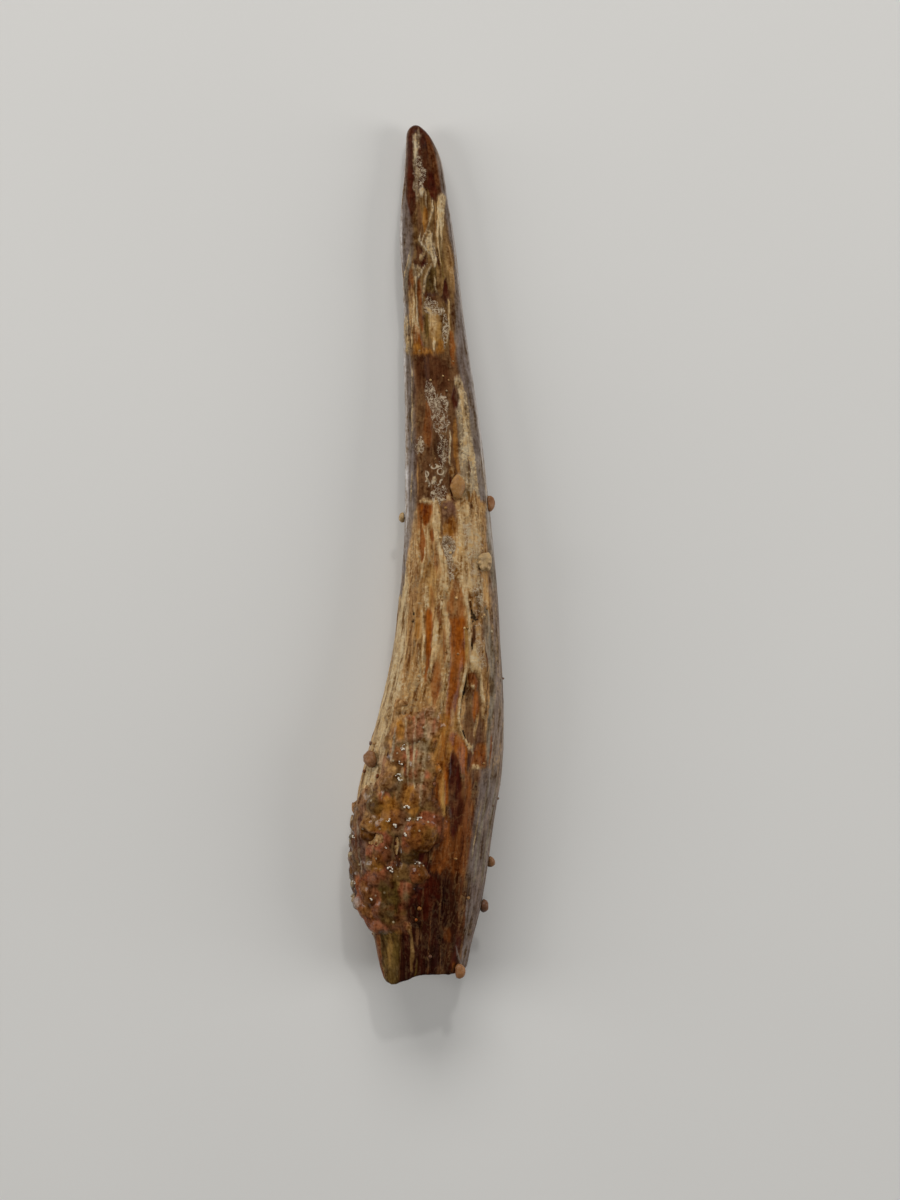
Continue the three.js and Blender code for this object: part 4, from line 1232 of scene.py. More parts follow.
@dataclass(frozen=True)
class GrainFinish:
    """A single grain of sand: quartz with a stained skin, in a colour of its own.

    Attributes:
        name: The material's name.
        bump: Height of its pocks, in mm.
    """

    name: str = "quartz_grain"
    bump: float = 0.03

    def build(self) -> bpy.types.Material:
        """Makes the material."""
        g, material = Graph.material(self.name)
        place = g.place()
        mottle = g.noise(place, 3.6, 4.0, 0.6, 0.3)
        grit = g.noise(place, 12.0, 3.0, 0.6)
        level = 0.6 + mottle * 0.8
        shade = g.node("CombineXYZ", {}, {"X": level, "Y": level, "Z": level})[0]
        colour = g.blend(1.0, g.read("stain", Reading.COLOUR), shade, "MULTIPLY")
        colour = g.blend(g.step(grit, 0.52, 0.7) * 0.25, colour, Stain.CHALK)
        colour = g.blend(g.step(mottle, 0.44, 0.32) * 0.5, colour, Stain.RUST)
        g.shade(Base_Color=colour, Roughness=0.2 + grit * 0.4, Normal=g.bump(mottle + grit * 0.5, self.bump))
        g.shade(IOR=1.5, Specular_IOR_Level=0.25)
        return material


@dataclass(frozen=True)
class FloorFinish:
    """A plain pale floor.

    Attributes:
        name: The material's name.
        pale: How pale it is, in linear light.
        blue: How much blue it has beside its red and green.
    """

    name: str = "pale_floor"
    pale: float = 0.72
    blue: float = 0.985

    def build(self) -> bpy.types.Material:
        """Makes the material."""
        g, material = Graph.material(self.name)
        shade = g.step(g.noise(g.place(), 0.03, 2.0), 0.3, 0.7, (0.99, 1.01)) * self.pale
        parts = {"Red": shade, "Green": shade, "Blue": shade * self.blue}
        g.shade(Base_Color=g.node("CombineColor", {}, parts)[0], Roughness=0.85, Specular_IOR_Level=0.2)
        return material


# ---- The tooth ----


@dataclass
class ToothBody:
    """The tooth in one skin: worn tip, fluted crown, flared root and broken end.

    Attributes:
        striae: Height of the finest ridges along it, in mm.
        ridges: Height of the broad ridges along the root, in mm.
        plates: Height of the steps where layers have flaked, in mm.
        broken: Roughness of the broken end, in mm.
        upper: How far up a face has to look to be divided once more.
        neck: Where the crown turns into the root, from one distance from the tip to another, in mm.
        side: Where the sides begin, as two shares of the half width.
        finish: Its material.
    """

    striae: float = 0.03
    ridges: float = 0.06
    plates: float = 0.05
    broken: float = 0.12
    upper: float = 0.42
    neck: tuple[float, float] = (21.0, 26.0)
    side: tuple[float, float] = (0.6, 0.86)
    finish: ToothFinish = field(default_factory=ToothFinish)

    def build(self) -> bpy.types.Object:
        """Draws, roughens and stains it.

        Returns:
            The piece.
        """
        self.piece = Bench.copy_of("tooth", "tooth_body")
        self._divide()
        self.sections = Sections.measure(Bench.points(self.piece))
        self.plain = Bench.points(self.piece)
        chart = Chart(self.plain, self.sections)
        colour, layers, relief = self._stained(chart)
        self._roughen(chart, layers, relief)
        self.chart = Chart(Bench.points(self.piece), self.sections)
        self.colour = colour
        Bench.paint(self.piece, "stain", colour)
        Bench.store(self.piece, "strand", chart.strand)
        for layer, values in layers.items():
            Bench.store(self.piece, layer.value, values)
        self.piece.data.shade_smooth()
        self.piece.data.materials.append(self.finish.build())
        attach(self.piece, "root")
        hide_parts("tooth")
        return self.piece

    def stain_near(self, points: np.ndarray) -> np.ndarray:
        """The tooth's own colour at each of some points near its skin."""
        tree = KDTree(len(self.plain))
        for number, point in enumerate(self.plain):
            tree.insert(point, number)
        tree.balance()
        return self.colour[[tree.find(point)[1] for point in points]]

    def _divide(self) -> None:
        """Joins the facets into quads, subdivides them twice, and the upper face once more."""
        steepest = math.radians(60)
        with Bench.editing(self.piece):
            bpy.ops.mesh.tris_convert_to_quads(face_threshold=steepest, shape_threshold=steepest)
        Bench.apply(self.piece, "SUBSURF", levels=2, render_levels=2)
        for lengthwise in (True, False):
            self._halve_upper(lengthwise)
        sides = Bench.points(self.piece).T
        Bench.move(self.piece, np.stack([smoothed(self.piece, side, 2) for side in sides], axis=1))

    def _halve_upper(self, lengthwise: bool) -> None:
        """Cuts the upper face's edges in half, one way only.

        Args:
            lengthwise: Whether the edges that are cut run along the tooth, or across it.
        """
        points, normals = Bench.points(self.piece), Bench.normals(self.piece)
        first, second = Bench.edges(self.piece)
        step = points[first] - points[second]
        runs = np.abs(step[:, 1]) > 0.7 * np.linalg.norm(step, axis=1)
        upper = np.minimum(normals[first, 2], normals[second, 2]) > self.upper
        with Bench.editing(self.piece, upper & (runs == lengthwise), Element.EDGE):
            bpy.ops.mesh.subdivide(number_cuts=1, smoothness=0.0)

    def _ground(self, chart: Chart) -> np.ndarray:
        """The colour under every mark: dark enamel on the crown, bark brown and tan on the root, umber at its
        foot, and painted sheen along the edges, which turns to the fibre's pale colour on the left of the
        root.

        Args:
            chart: The points.

        Returns:
            A linear colour for each point.
        """
        cloud = chart.strands(0.9, 0.2, 41, 3)
        root = ease(chart.station + 2.2 * cloud, 20.5, 26.0)
        foot = ease(chart.station + 1.5 * cloud, 36.5, 42.5)
        edge = ease(np.abs(chart.share) + 0.06 * cloud, *self.side)
        colour = lay(np.tile(Stain.BARK.linear(), (len(chart.x), 1)), Stain.TAN.linear(), root)
        colour = lay(colour, Stain.UMBER.linear(), foot)
        left = ease(-chart.share, -0.2, 0.2) * root
        # Painted sheen along the edges: the grey reflection of the surroundings on the enamel. On the left of
        # the root it turns to the fibre's own pale colour.
        painted_rim_light = lay(Stain.PAINTED_SHEEN.linear(), Stain.FIBRE.linear(), left)
        return lay(colour, painted_rim_light, edge * (0.85 - 0.35 * foot))

    def _stained(self, chart: Chart) -> tuple[np.ndarray, dict[Layer, np.ndarray], np.ndarray]:
        """Lays every mark over the ground, one on another, and paints a pale highlight along the edges of the
        crown's upper half.

        Args:
            chart: The points.

        Returns:
            The colour, the masks, and how far the marks stand out in mm, for each point.
        """
        colour = self._ground(chart)
        count = len(chart.x)
        layers = {layer: np.zeros(count) for layer in Layer}
        root = ease(chart.station, *self.neck)
        edge = ease(np.abs(chart.share), *self.side)
        layers[Layer.FIBRE] = np.maximum(0.2 + 0.55 * root, 0.75 * edge)
        layers[Layer.WORN] = 0.35 * chart.upper * root
        relief = np.zeros(count)
        for mark in ALL_MARKS:
            cover = mark.cover(chart)
            tone = mark.stain.value
            relief += (mark.relief + tone.stands) * cover
            if tone.pattern:
                layers[tone.pattern] = np.maximum(layers[tone.pattern], cover * mark.strength)
                continue
            colour = lay(colour, mark.stain.linear(), cover)
            layers[Layer.LACE] *= 1.0 - 0.7 * cover
            layers[Layer.PIT] *= 1.0 - cover
            for layer, value in (
                (Layer.PALE, tone.pale), (Layer.FIBRE, tone.fibrous), (Layer.WORN, tone.wear),
                (Layer.POLISH, mark.gloss),
            ):
                layers[layer] += (value - layers[layer]) * cover
        layers[Layer.FIBRE] = np.maximum(layers[Layer.FIBRE], 0.6 * root * edge)
        # Painted highlight: a pale line along both edges of the crown's upper half, standing in for light
        # caught at the silhouette.
        painted_rim_light = 0.75 * ease(np.abs(chart.share), 0.88, 0.97) * (1.0 - ease(chart.station, 22.0, 27.0))
        painted_rim_light *= ease(np.sin(chart.angle) + 0.3 * chart.thin, -0.3, 0.1)
        return lay(colour, Stain.PAINTED_RIM_AND_PALE_GRAIN.linear(), painted_rim_light), layers, relief

    def _roughen(self, chart: Chart, layers: dict[Layer, np.ndarray], relief: np.ndarray) -> None:
        """Moves the points out and in: strands, flaked plates, marks, and the broken end.

        Args:
            chart: The points.
            layers: The masks.
            relief: How far the marks stand out, in mm.
        """
        normals = Bench.normals(self.piece)
        fibre = layers[Layer.FIBRE]
        body = ease(chart.station, 0.4, 3.0)
        fine = self.striae * (0.35 + fibre) * chart.strands(4.2, 0.22, 51, 2)
        broad = self.ridges * (0.25 + fibre) * chart.strands(1.5, 0.09, 52, 2)
        plate = Unevenness(53, 3).at(chart.strand * [1.1, 1.1, 0.5])
        steps = self.plates * layers[Layer.WORN] * (ease(plate, -0.1, -0.02) + ease(plate, 0.2, 0.28) - 1.0)
        out = body * (fine + broad + steps) + 0.8 * relief
        # The broken end faces away from the tip.
        face = ease(-normals[:, 1], 0.35, 0.75) * ease(chart.station, 48.0, 49.0)
        rough = Unevenness(54, 3).at(chart.points * [1.3, 1.3, 2.6])
        out = out * (1.0 - face) + self.broken * rough * face
        points = chart.points + normals * out[:, None]
        low, high = (np.array(corner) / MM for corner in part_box("tooth"))
        Bench.move(self.piece, np.clip(points, low, high))


# ---- The crust ----


@dataclass(frozen=True)
class Lump:
    """One grain that shows in the crust.

    Attributes:
        station: Its distance from the tip, in mm.
        angle: Its place round the tooth, in degrees; 90 is the middle of the upper face.
        width: Its width, in mm.
    """

    station: float
    angle: float
    width: float


# The larger grains of the crust, where its solid has them.
LARGE_LUMPS = tuple(Lump(*numbers) for numbers in (
    (34.1, 104, 0.9), (35.3, 112, 1.2), (35.9, 98, 1.0), (36.8, 118, 1.0), (37.6, 105, 1.3), (38.2, 122, 1.1),
    (38.9, 96, 1.2), (39.4, 133, 1.2), (40.1, 112, 1.1), (41.1, 91, 2.0), (40.9, 141, 1.3), (42.1, 100, 1.3),
    (42.2, 122, 1.1), (43.3, 90, 1.1), (43.2, 107, 1.2), (43.7, 128, 1.2), (44.5, 141, 1.4), (45.4, 152, 1.2),
    (45.6, 130, 1.0), (46.4, 140, 0.9), (39.6, 176, 0.9), (40.6, 184, 1.0), (41.6, 178, 1.1),
    (42.5, 184, 1.1), (43.4, 178, 0.9), (44.3, 180, 0.7), (45.2, 168, 1.1),
))


@dataclass(frozen=True)
class Spot:
    """A place on the tooth's skin.

    Attributes:
        station: Its distance from the tip, in mm.
        angle: Its place round the tooth, in degrees.
    """

    station: float
    angle: float

    def nearest(self, tooth: ToothBody) -> int:
        """The number of the tooth's point nearest to it."""
        chart = tooth.chart
        turn = np.angle(np.exp(1j * (chart.angle - np.radians(self.angle))))
        # A radian round the tooth counts as 3 mm along it.
        return int(np.argmin((3.0 * turn) ** 2 + (chart.station - self.station) ** 2))

    def on(self, tooth: ToothBody) -> np.ndarray:
        """Where it is, in mm."""
        return tooth.chart.points[self.nearest(tooth)]


# What the crust's grains are stained with, and what share of them.
CRUST_STAINS = {
    Stain.FAWN: 0.24, Stain.BRICK: 0.18, Stain.OLIVE: 0.1, Stain.BARK: 0.12, Stain.HONEY: 0.1,
    Stain.DUST: 0.1, Stain.TAN: 0.08, Stain.UMBER: 0.08,
}


@dataclass
class SandCrust:
    """The crust of cemented sand on the left of the root.

    Attributes:
        tooth: The tooth that it sits on.
        sheet: Its thickness between the grains, in mm.
        wall: Its wall, in mm.
        small_lumps: How many smaller grains it holds.
        stations: Where they are, from one distance from the tip to another, in mm.
        angles: Where they are, in degrees round the tooth.
        widths: Their smallest and largest width, in mm.
        bulges: How high the lowest and the highest grain stands, as a share of a ball's height.
        large: How wide a grain is that stands higher still, in mm.
        sharpness: How sharply the grains part, per mm.
        finish: Its material.
    """

    tooth: ToothBody
    sheet: float = 0.1
    wall: float = 0.25
    small_lumps: int = 420
    stations: tuple[float, float] = (33.2, 46.8)
    angles: tuple[float, float] = (80.0, 198.0)
    widths: tuple[float, float] = (0.22, 0.62)
    bulges: tuple[float, float] = (0.25, 0.55)
    large: float = 0.8
    sharpness: float = 16.0
    finish: CrustFinish = field(default_factory=CrustFinish)

    @staticmethod
    def spread(chart: Chart) -> np.ndarray:
        """How far each point lies inside the crust's ragged outline: above 0 inside it."""
        station, angle = chart.station, np.degrees(chart.angle) % 360.0
        # From the neck down it turns to the left and widens, and near the foot it narrows again.
        middle = 115.0 + 25.0 * ease(station, 37.0, 43.0)
        reach = 24.0 + 30.0 * ease(station, 37.5, 40.5) * (1.0 - 0.55 * ease(station, 43.5, 46.0))
        fringe = Unevenness(60, 3).at(chart.strand * 0.8)
        ragged = 3.0 * np.sin(2.1 * station + 0.05 * angle) + 9.0 * fringe
        sides = 1.0 - np.abs(angle - middle) / (reach + ragged)
        ends = np.minimum(0.7 * (station - 33.7) - 1.6 * fringe, 46.9 - station)
        return np.minimum(2.0 * sides, ends)

    def build(self) -> bpy.types.Object:
        """Draws it from the tooth's own skin.

        Returns:
            The piece.
        """
        self.piece = Bench.placed(self.tooth.piece.data, "sand_crust_body")
        for name in ("stain", "strand", *(layer.value for layer in Layer)):
            self.piece.data.attributes.remove(self.piece.data.attributes[name])
        Bench.move(self.piece, self.tooth.plain)
        outside = self.spread(Chart(self.tooth.plain, self.tooth.sections)) < -0.3
        with Bench.editing(self.piece, outside):
            bpy.ops.mesh.delete(type="VERT")
        with Bench.editing(self.piece):
            bpy.ops.mesh.subdivide(number_cuts=1, smoothness=0.0)
        self._raise()
        Bench.apply(self.piece, "SOLIDIFY", thickness=self.wall * MM, offset=-1.0)
        self.piece.data.shade_smooth()
        self.piece.data.materials.append(self.finish.build())
        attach(self.piece, "root")
        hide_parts("sand_crust")
        return self.piece

    def _lumps(self) -> list[Lump]:
        """The large grains, and smaller ones strewn between them."""
        rng = np.random.default_rng(7)
        lumps = list(LARGE_LUMPS)
        while len(lumps) < len(LARGE_LUMPS) + self.small_lumps:
            station, angle = rng.uniform(*self.stations), rng.uniform(*self.angles)
            place = Spot(station, angle).on(self.tooth)
            inside = self.spread(Chart(place[None], self.tooth.sections))[0]
            if inside > -0.12:
                lumps.append(Lump(station, angle, rng.uniform(*self.widths) * min(1.0, 0.75 + inside)))
        return lumps

    def _raise(self) -> None:
        """Lifts the skin into grains that run into each other, and paints them, with painted highlights on
        their tops; it also marks the hollows between them for painted shade.
        """
        points = Bench.points(self.piece)
        normals = Bench.normals(self.piece)
        chart = Chart(points, self.tooth.sections)
        spread = self.spread(chart)
        wobble = Unevenness(61, 3)
        floor = self.sheet * np.clip(3.0 * spread, -1.8, 1.0) * (1.0 + 0.8 * wobble.at(points * 1.3))
        melt = np.exp(self.sharpness * floor)
        base = self._sheet_colour(points, chart)
        hem = ease(spread + 0.2 * wobble.at(points * 1.9), -0.05, 0.4)[:, None]
        base = hem * base + (1.0 - hem) * self.tooth.stain_near(points)
        total, colour = melt.copy(), base * melt[:, None]
        self._heap(points, base, total, colour)
        height = np.log(total) / self.sharpness
        height += sum(mark.relief * mark.cover(chart) for mark in CRUST_MARKS if mark.relief)
        height += 0.025 * wobble.at(points * 3.2) * ease(spread, -0.1, 0.2)
        around = smoothed(self.piece, height, 20)
        colour /= total[:, None]
        # Painted highlight: where a grain stands above its surroundings, its top is lightened towards dust.
        painted_crest_highlight = 0.35 * ease(height - around, 0.015, 0.12)
        Bench.paint(self.piece, "stain", lay(colour, Stain.DUST.linear(), painted_crest_highlight))
        Bench.store(self.piece, "strand", chart.strand)
        Bench.store(self.piece, "sheet", ease(melt / total, 0.25, 0.8))
        # Painted shade: how deep each point lies in a hollow between grains, which the finish darkens.
        Bench.store(self.piece, "gap", ease(around - height, 0.01, 0.11))
        Bench.move(self.piece, points + normals * height[:, None])

    def _heap(self, points: np.ndarray, base: np.ndarray, total: np.ndarray, colour: np.ndarray) -> None:
        """Adds every grain to what the skin holds so far.

        Args:
            points: The skin's points, in mm.
            base: The colour under the grains.
            total: How much each point holds. It is changed in place.
            colour: The colour of all that it holds. It is changed in place.
        """
        rng = np.random.default_rng(8)
        stains, shares = list(CRUST_STAINS), list(CRUST_STAINS.values())
        for number, lump in enumerate(self._lumps()):
            centre = Spot(lump.station, lump.angle).on(self.tooth)
            offset = points - centre
            near = np.linalg.norm(offset, axis=1) < lump.width
            uneven = Unevenness(100 + number % 9, 2).at(offset[near] / lump.width * 1.6 + number)
            radius = 0.5 * lump.width * (1.0 + 0.35 * uneven)
            distance = np.linalg.norm(offset[near], axis=1)
            bulge = rng.uniform(*self.bulges) * (1.4 if lump.width > self.large else 1.0)
            cap = np.sqrt(np.maximum(radius**2 - distance**2, 0.0)) * bulge
            weight = np.where(distance < radius, np.exp(self.sharpness * cap) - 1.0, 0.0)
            paint = stains[rng.choice(len(stains), p=shares)].linear() * rng.uniform(0.8, 1.2)
            paint = 0.35 * paint + 0.65 * rng.uniform(0.6, 1.5) * base[near]
            total[near] += weight
            colour[near] += weight[:, None] * np.clip(paint, 0.0, 1.0)

    @staticmethod
    def _sheet_colour(points: np.ndarray, chart: Chart) -> np.ndarray:
        """The stain of the crust: patches of ochre, fawn and brick, ribs of fibre, and the marks over them.

        Args:
            points: The points.
            chart: The same points as a map.

        Returns:
            A linear colour for each point.
        """
        patch = Unevenness(62, 3).at(points * 0.8)
        dark = ease(Unevenness(63, 3).at(points * [1.6, 0.8, 1.6]), 0.15, 0.38)
        colour = np.tile(Stain.OCHRE.linear(), (len(points), 1))
        colour = lay(colour, Stain.FAWN.linear(), ease(patch, 0.0, 0.3))
        colour = lay(colour, Stain.BRICK.linear(), ease(-patch, 0.0, 0.3))
        high = 1.0 - ease(chart.station, 37.5, 41.0)
        ribs = ease(chart.strands(2.8, 0.3, 64, 2), 0.08, 0.3) * (0.2 + 0.45 * high)
        colour = lay(colour, Stain.FIBRE.linear(), ribs)
        for mark in CRUST_MARKS:
            colour = lay(colour, mark.stain.linear(), mark.cover(chart))
        low = ease(chart.station, 38.5, 41.5)
        return lay(colour * (1.0 - 0.3 * low)[:, None], Stain.MAROON.linear(), dark * (0.15 + 0.4 * low))


# ---- Single grains ----


@dataclass(frozen=True)
class SingleGrain:
    """One grain of sand that stands alone on the tooth.

    Attributes:
        node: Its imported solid.
        stain: Its colour.
        lift: How much brighter than its stain it is.
        cupped: How deep the hollow in its upper face is, as a share of its width.
        pocks: Height of its unevenness, in mm.
        voxel: How finely its skin is divided, in mm.
    """

    node: str
    stain: Stain
    lift: float = 1.0
    cupped: float = 0.0
    pocks: float = 0.035
    voxel: float = 0.045

    def build(self, material: bpy.types.Material) -> bpy.types.Object:
        """Draws it from its solid.

        Args:
            material: The grains' material.

        Returns:
            The piece.
        """
        piece = Bench.copy_of(self.node, self.node.replace("_sand_grain", "_quartz"))
        Bench.apply(piece, "REMESH", mode="VOXEL", voxel_size=self.voxel * MM)
        Bench.apply(piece, "SMOOTH", factor=0.6, iterations=8)
        points = Bench.points(piece)
        normals = Bench.normals(piece)
        middle = (points.min(axis=0) + points.max(axis=0)) / 2.0
        half = (points.max(axis=0) - points.min(axis=0)) / 2.0
        seed = sum(ord(letter) for letter in self.node)
        out = self.pocks * Unevenness(seed, 3).at(points * 2.6)
        if self.cupped:
            spread = np.linalg.norm((points - middle)[:, :2] / half[:2], axis=1)
            hollow = self.cupped * 2.0 * half[0] * (1.0 - ease(spread, 0.25, 0.8))
            scallop = 0.06 * np.cos(7.0 * np.arctan2(*(points - middle)[:, :2].T)) * ease(spread, 0.5, 0.9)
            out += (scallop - hollow) * ease(normals[:, 2], 0.1, 0.6)
        Bench.move(piece, points + normals * out[:, None])
        cloud = Unevenness(seed + 5, 2).at(points * 1.8)
        colour = self.stain.linear() * self.lift
        Bench.paint(piece, "stain", np.clip(colour[None] * (1.0 + 0.25 * cloud[:, None]), 0.0, 1.0))
        piece.data.shade_smooth()
        piece.data.materials.append(material)
        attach(piece, "root")
        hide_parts(self.node)
        return piece


SINGLE_GRAINS = (
    SingleGrain("oval_sand_grain", Stain.TAN, 1.15),
    SingleGrain("cupped_sand_grain", Stain.FIBRE, 1.35, cupped=0.15),
    SingleGrain("right_crown_sand_grain", Stain.FAWN, 1.3),
    SingleGrain("left_crown_sand_grain", Stain.FIBRE, 1.2),
    SingleGrain("left_root_sand_grain", Stain.FAWN, 1.15, pocks=0.08),
    SingleGrain("right_root_sand_grain", Stain.FAWN, 1.1),
    SingleGrain("lower_right_sand_grain", Stain.PLUM, 1.3),
    SingleGrain("root_end_sand_grain", Stain.FAWN, 1.4),
)


@dataclass(frozen=True)
class Sprinkle:
    """A strip of the tooth with small grains stuck to it.

    Attributes:
        stations: Its ends, as distances from the tip in mm.
        angles: Its sides, in degrees round the tooth.
        count: How many grains it holds.
        widths: Their smallest and largest width, in mm.
        stains: Their colours.
    """

    stations: tuple[float, float]
    angles: tuple[float, float]
    count: int
    widths: tuple[float, float]
    stains: tuple[Stain, ...]


@dataclass(frozen=True)
class PaintedGlintBeads:
    """Bent rows of the smallest clear grains, near white, on the upper face: painted glints, set where the
    wet crust catches the light.

    Attributes:
        rows: Each row's first and last place, as distances from the tip and X, in mm.
        widths: Their smallest and largest width, in mm.
        gap: How far apart they are, in mm.
        bow: How far a row bends out in its middle, as a share of its length.
        stain: Their colour.
    """

    rows: tuple[tuple[float, float, float, float], ...]
    widths: tuple[float, float] = (0.05, 0.15)
    gap: float = 0.08
    bow: float = 0.35
    stain: Stain = Stain.PAINTED_GLINT

    def places(self) -> np.ndarray:
        """Distance from the tip and X of each grain, in mm."""
        spots = []
        for number, (station, x, last_station, last_x) in enumerate(self.rows):
            along = np.array((last_station - station, last_x - x))
            share = np.linspace(0.0, 1.0, 1 + round(math.hypot(*along) / self.gap))[:, None]
            out = 4.0 * self.bow * share * (1.0 - share) * (-1.0) ** number
            spots.append((station, x) + share * along + out * along[::-1] * (1.0, -1.0))
        return np.concatenate(spots)


@dataclass
class LooseSand:
    """The small grains strewn over the tooth, in one mesh, with near-white beads that paint glints on the
    crust.

    Attributes:
        tooth: The tooth that they stick to.
        crust: The crust, which some of them stick to.
        strips: Where they are.
        clear: Near-white beads set where the wet crust catches the light: painted glints.
        seed: Which scatter it is.
    """

    tooth: ToothBody
    crust: bpy.types.Object
    strips: tuple[Sprinkle, ...] = (
        Sprinkle(
            (40.3, 44.3), (172.0, 192.0), 26, (0.3, 0.6), (Stain.DUST, Stain.OCHRE, Stain.BARK, Stain.SLATE)
        ),
        Sprinkle((44.8, 45.3), (172.0, 182.0), 3, (0.4, 0.6), (Stain.DUST,)),
        Sprinkle(
            (36.0, 46.5), (84.0, 170.0), 40, (0.12, 0.26), (Stain.HONEY, Stain.TAN, Stain.RUST, Stain.AMBER)
        ),
        Sprinkle((21.0, 31.0), (40.0, 105.0), 22, (0.1, 0.2), (Stain.CREAM, Stain.TAN, Stain.GOLD)),
        Sprinkle((6.0, 20.0), (60.0, 110.0), 12, (0.08, 0.15), (Stain.DUST, Stain.CREAM, Stain.TAN)),
        Sprinkle((30.0, 49.0), (-80.0, 270.0), 26, (0.12, 0.24), (Stain.TAN, Stain.RUST, Stain.PLUM)),
    )
    clear: PaintedGlintBeads = PaintedGlintBeads((
        (35.95, -1.12, 36.2, -1.15), (36.2, -1.15, 36.15, -1.3), (36.9, -1.4, 37.05, -1.25),
        (37.7, -1.6, 37.74, -1.3), (37.85, -1.45, 37.95, -1.25), (39.5, -1.1, 39.5, -0.85),
        (40.3, -2.15, 40.18, -1.95), (40.5, -1.7, 40.62, -1.6), (40.25, -0.95, 40.15, -0.8),
        (40.2, -0.35, 40.1, -0.15), (41.0, -1.08, 41.1, -1.02), (43.0, -2.05, 43.05, -1.8),
        (43.15, -1.9, 43.2, -1.8), (42.72, -0.5, 42.7, -0.25), (41.25, -4.1, 41.35, -4.0),
        (43.9, -4.1, 44.0, -3.98), (41.8, -2.2, 41.85, -2.15), (44.8, -3.05, 44.85, -3.0),
    ))
    seed: int = 21

    def build(self, material: bpy.types.Material) -> bpy.types.Object:
        """Models one grain, copies it to every place, and joins the copies.

        Args:
            material: The grains' material.

        Returns:
            The piece.
        """
        rng = np.random.default_rng(self.seed)
        pattern = self._pattern()
        normals = Bench.normals(self.tooth.piece)
        copies = []
        for strip in self.strips:
            for _ in range(strip.count):
                spot = Spot(rng.uniform(*strip.stations), rng.uniform(*strip.angles)).nearest(self.tooth)
                width = rng.uniform(*strip.widths)
                place = self.tooth.chart.points[spot] + normals[spot] * width * 0.08
                stain = strip.stains[rng.integers(len(strip.stains))].linear() * rng.uniform(0.75, 1.15)
                copies.append(self._grain(pattern, place, width, stain, rng))
        skin = np.concatenate([Bench.points(self.tooth.piece), Bench.points(self.crust)])
        # Painted glints: near-white beads along the lines where light catches the wet crust.
        for station, x in self.clear.places():
            # It rests on the highest skin within its reach.
            away = np.hypot(skin[:, 0] - x, TIP_Y - skin[:, 1] - station)
            near = skin[away < max(0.08, 1.01 * away.min())]
            place = np.array([x, TIP_Y - station, near[:, 2].max()])
            width = rng.uniform(*self.clear.widths)
            copies.append(self._grain(pattern, place, width, self.clear.stain.linear(), rng))
        bpy.data.objects.remove(pattern)
        Bench.hold(copies[0])
        for copy in copies:
            copy.select_set(True)
        bpy.ops.object.join()
        piece = copies[0]
        piece.name = piece.data.name = "loose_sand"
        piece.data.shade_smooth()
        piece.data.materials.append(material)
        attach(piece, "root")
        return piece

    @staticmethod
    def _grain(
        pattern: bpy.types.Object, place: np.ndarray, width: float, stain: np.ndarray,
        rng: np.random.Generator,
    ) -> bpy.types.Object:
        """Sets one copy of the grain down, turned and stretched in its own way.

        Args:
            pattern: The grain that is copied.
            place: Where it goes, in mm.
            width: Its width, in mm.
            stain: Its linear colour.
            rng: What turns and stretches it.

        Returns:
            The copy.
        """
        turn = np.linalg.qr(rng.normal(size=(3, 3)))[0]
        turn *= np.sign(np.linalg.det(turn))
        sizes = width / 2.0 * rng.uniform(0.7, 1.15, 3)
        copy = Bench.placed(pattern.data, "sand_grain")
        shape = Bench.points(copy)
        Bench.move(copy, place + (shape * sizes) @ turn.T)
        Bench.paint(copy, "stain", np.tile(np.clip(stain, 0.0, 1.0), (len(shape), 1)))
        return copy

    @staticmethod
    def _pattern() -> bpy.types.Object:
        """One small uneven grain, 1 mm in radius."""
        bpy.ops.object.select_all(action="DESELECT")
        bpy.ops.mesh.primitive_ico_sphere_add(subdivisions=2, radius=MM, location=(0.0, 0.0, 0.0))
        grain = bpy.context.active_object
        with Bench.editing(grain):
            bpy.ops.transform.vertex_random(offset=0.22 * MM, uniform=0.0, normal=0.6, seed=3)
        return grain


# ---- The studio ----


@dataclass(frozen=True)
class Lamp:
    """A soft rectangular lamp that looks at the tooth.

    Attributes:
        name: Its name.
        place: Where it stands, in mm.
        size: Its width and depth, in mm.
        power: Its power in watts.
        warm: How much of its blue is taken away.
    """

    name: str
    place: tuple[float, float, float]
    size: tuple[float, float]
    power: float
    warm: float = 0.05

    def build(self) -> None:
        """Hangs it."""
        data = bpy.data.lights.new(self.name, "AREA")
        data.shape = "RECTANGLE"
        data.size, data.size_y = self.size[0] * MM, self.size[1] * MM
        data.energy = self.power
        data.color = (1.0, 1.0 - 0.4 * self.warm, 1.0 - self.warm)
        lamp = bpy.data.objects.new(self.name, data)
        bpy.context.scene.collection.objects.link(lamp)
        lamp.location = Vector(self.place) * MM
        lamp.rotation_euler = (-lamp.location).to_track_quat("-Z", "Y").to_euler()


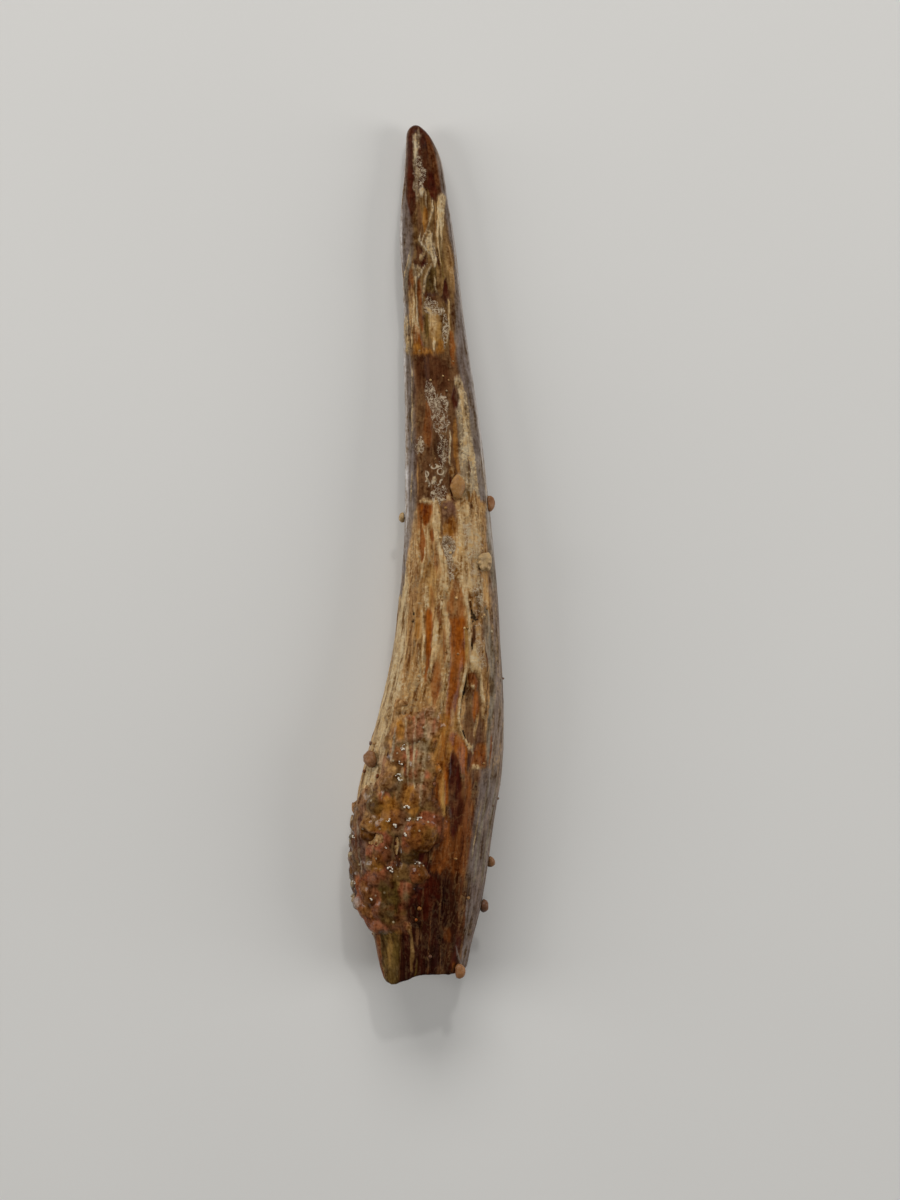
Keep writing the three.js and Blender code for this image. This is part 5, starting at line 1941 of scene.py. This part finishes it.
@dataclass
class Studio:
    """The floor, the lamps, the soft surroundings and the camera.

    Attributes:
        lamps: The lamps.
        sky: How bright the surroundings are.
        floor_side: The floor's side, in mm.
        camera_place: Where the camera is, in mm.
        lens: Its focal length, in mm.
    """

    lamps: tuple[Lamp, ...] = (
        Lamp("north_softbox", (-40.0, 330.0, 220.0), (300.0, 160.0), 0.85),
        Lamp("left_softbox", (-330.0, 20.0, 130.0), (160.0, 320.0), 0.62),
        Lamp("right_softbox", (330.0, -20.0, 130.0), (160.0, 320.0), 0.62),
        Lamp("sparkle", (60.0, 260.0, 300.0), (26.0, 26.0), 0.18),
    )
    sky: float = 0.13
    floor_side: float = 1600.0
    camera_place: tuple[float, float, float] = (1.491, -2.66, 195.4)
    lens: float = 100.0

    def build(self) -> None:
        """Sets it all up."""
        self._lay_floor()
        for lamp in self.lamps:
            lamp.build()
        world = bpy.data.worlds.new("pale_surroundings")
        bpy.context.scene.world = world
        world.use_nodes = True
        background = world.node_tree.nodes["Background"]
        background.inputs["Color"].default_value = (1.0, 0.98, 0.95, 1.0)
        background.inputs["Strength"].default_value = self.sky
        data = bpy.data.cameras.new("above")
        data.lens = self.lens
        data.sensor_fit = "VERTICAL"
        data.sensor_height = 36.0
        data.clip_start = 0.01
        camera = bpy.data.objects.new("above", data)
        bpy.context.scene.collection.objects.link(camera)
        camera.location = Vector(self.camera_place) * MM
        bpy.context.scene.camera = camera
        bpy.context.scene.view_settings.view_transform = "Standard"

    def _lay_floor(self) -> None:
        """Lays the floor under the tooth."""
        bpy.ops.object.select_all(action="DESELECT")
        bpy.ops.mesh.primitive_plane_add(size=self.floor_side * MM, location=(0.0, 0.0, CAD_BOX[0].z))
        floor = bpy.context.active_object
        floor.name = floor.data.name = "floor"
        floor.data.materials.append(FloorFinish().build())


def main() -> None:
    """Builds the tooth, its sand and the studio."""
    logging.basicConfig(level=logging.INFO, format="%(message)s")
    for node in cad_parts.values():
        node.select_set(False)
    build_effects()
    tooth = ToothBody()
    pieces = [tooth.build()]
    crust = SandCrust(tooth).build()
    quartz = GrainFinish().build()
    pieces += [crust, *(grain.build(quartz) for grain in SINGLE_GRAINS)]
    pieces.append(LooseSand(tooth, crust).build(quartz))
    for piece in pieces:
        log.info("%s: %d points", piece.name, len(piece.data.vertices))
    Studio().build()


if __name__ == "__main__":
    main()
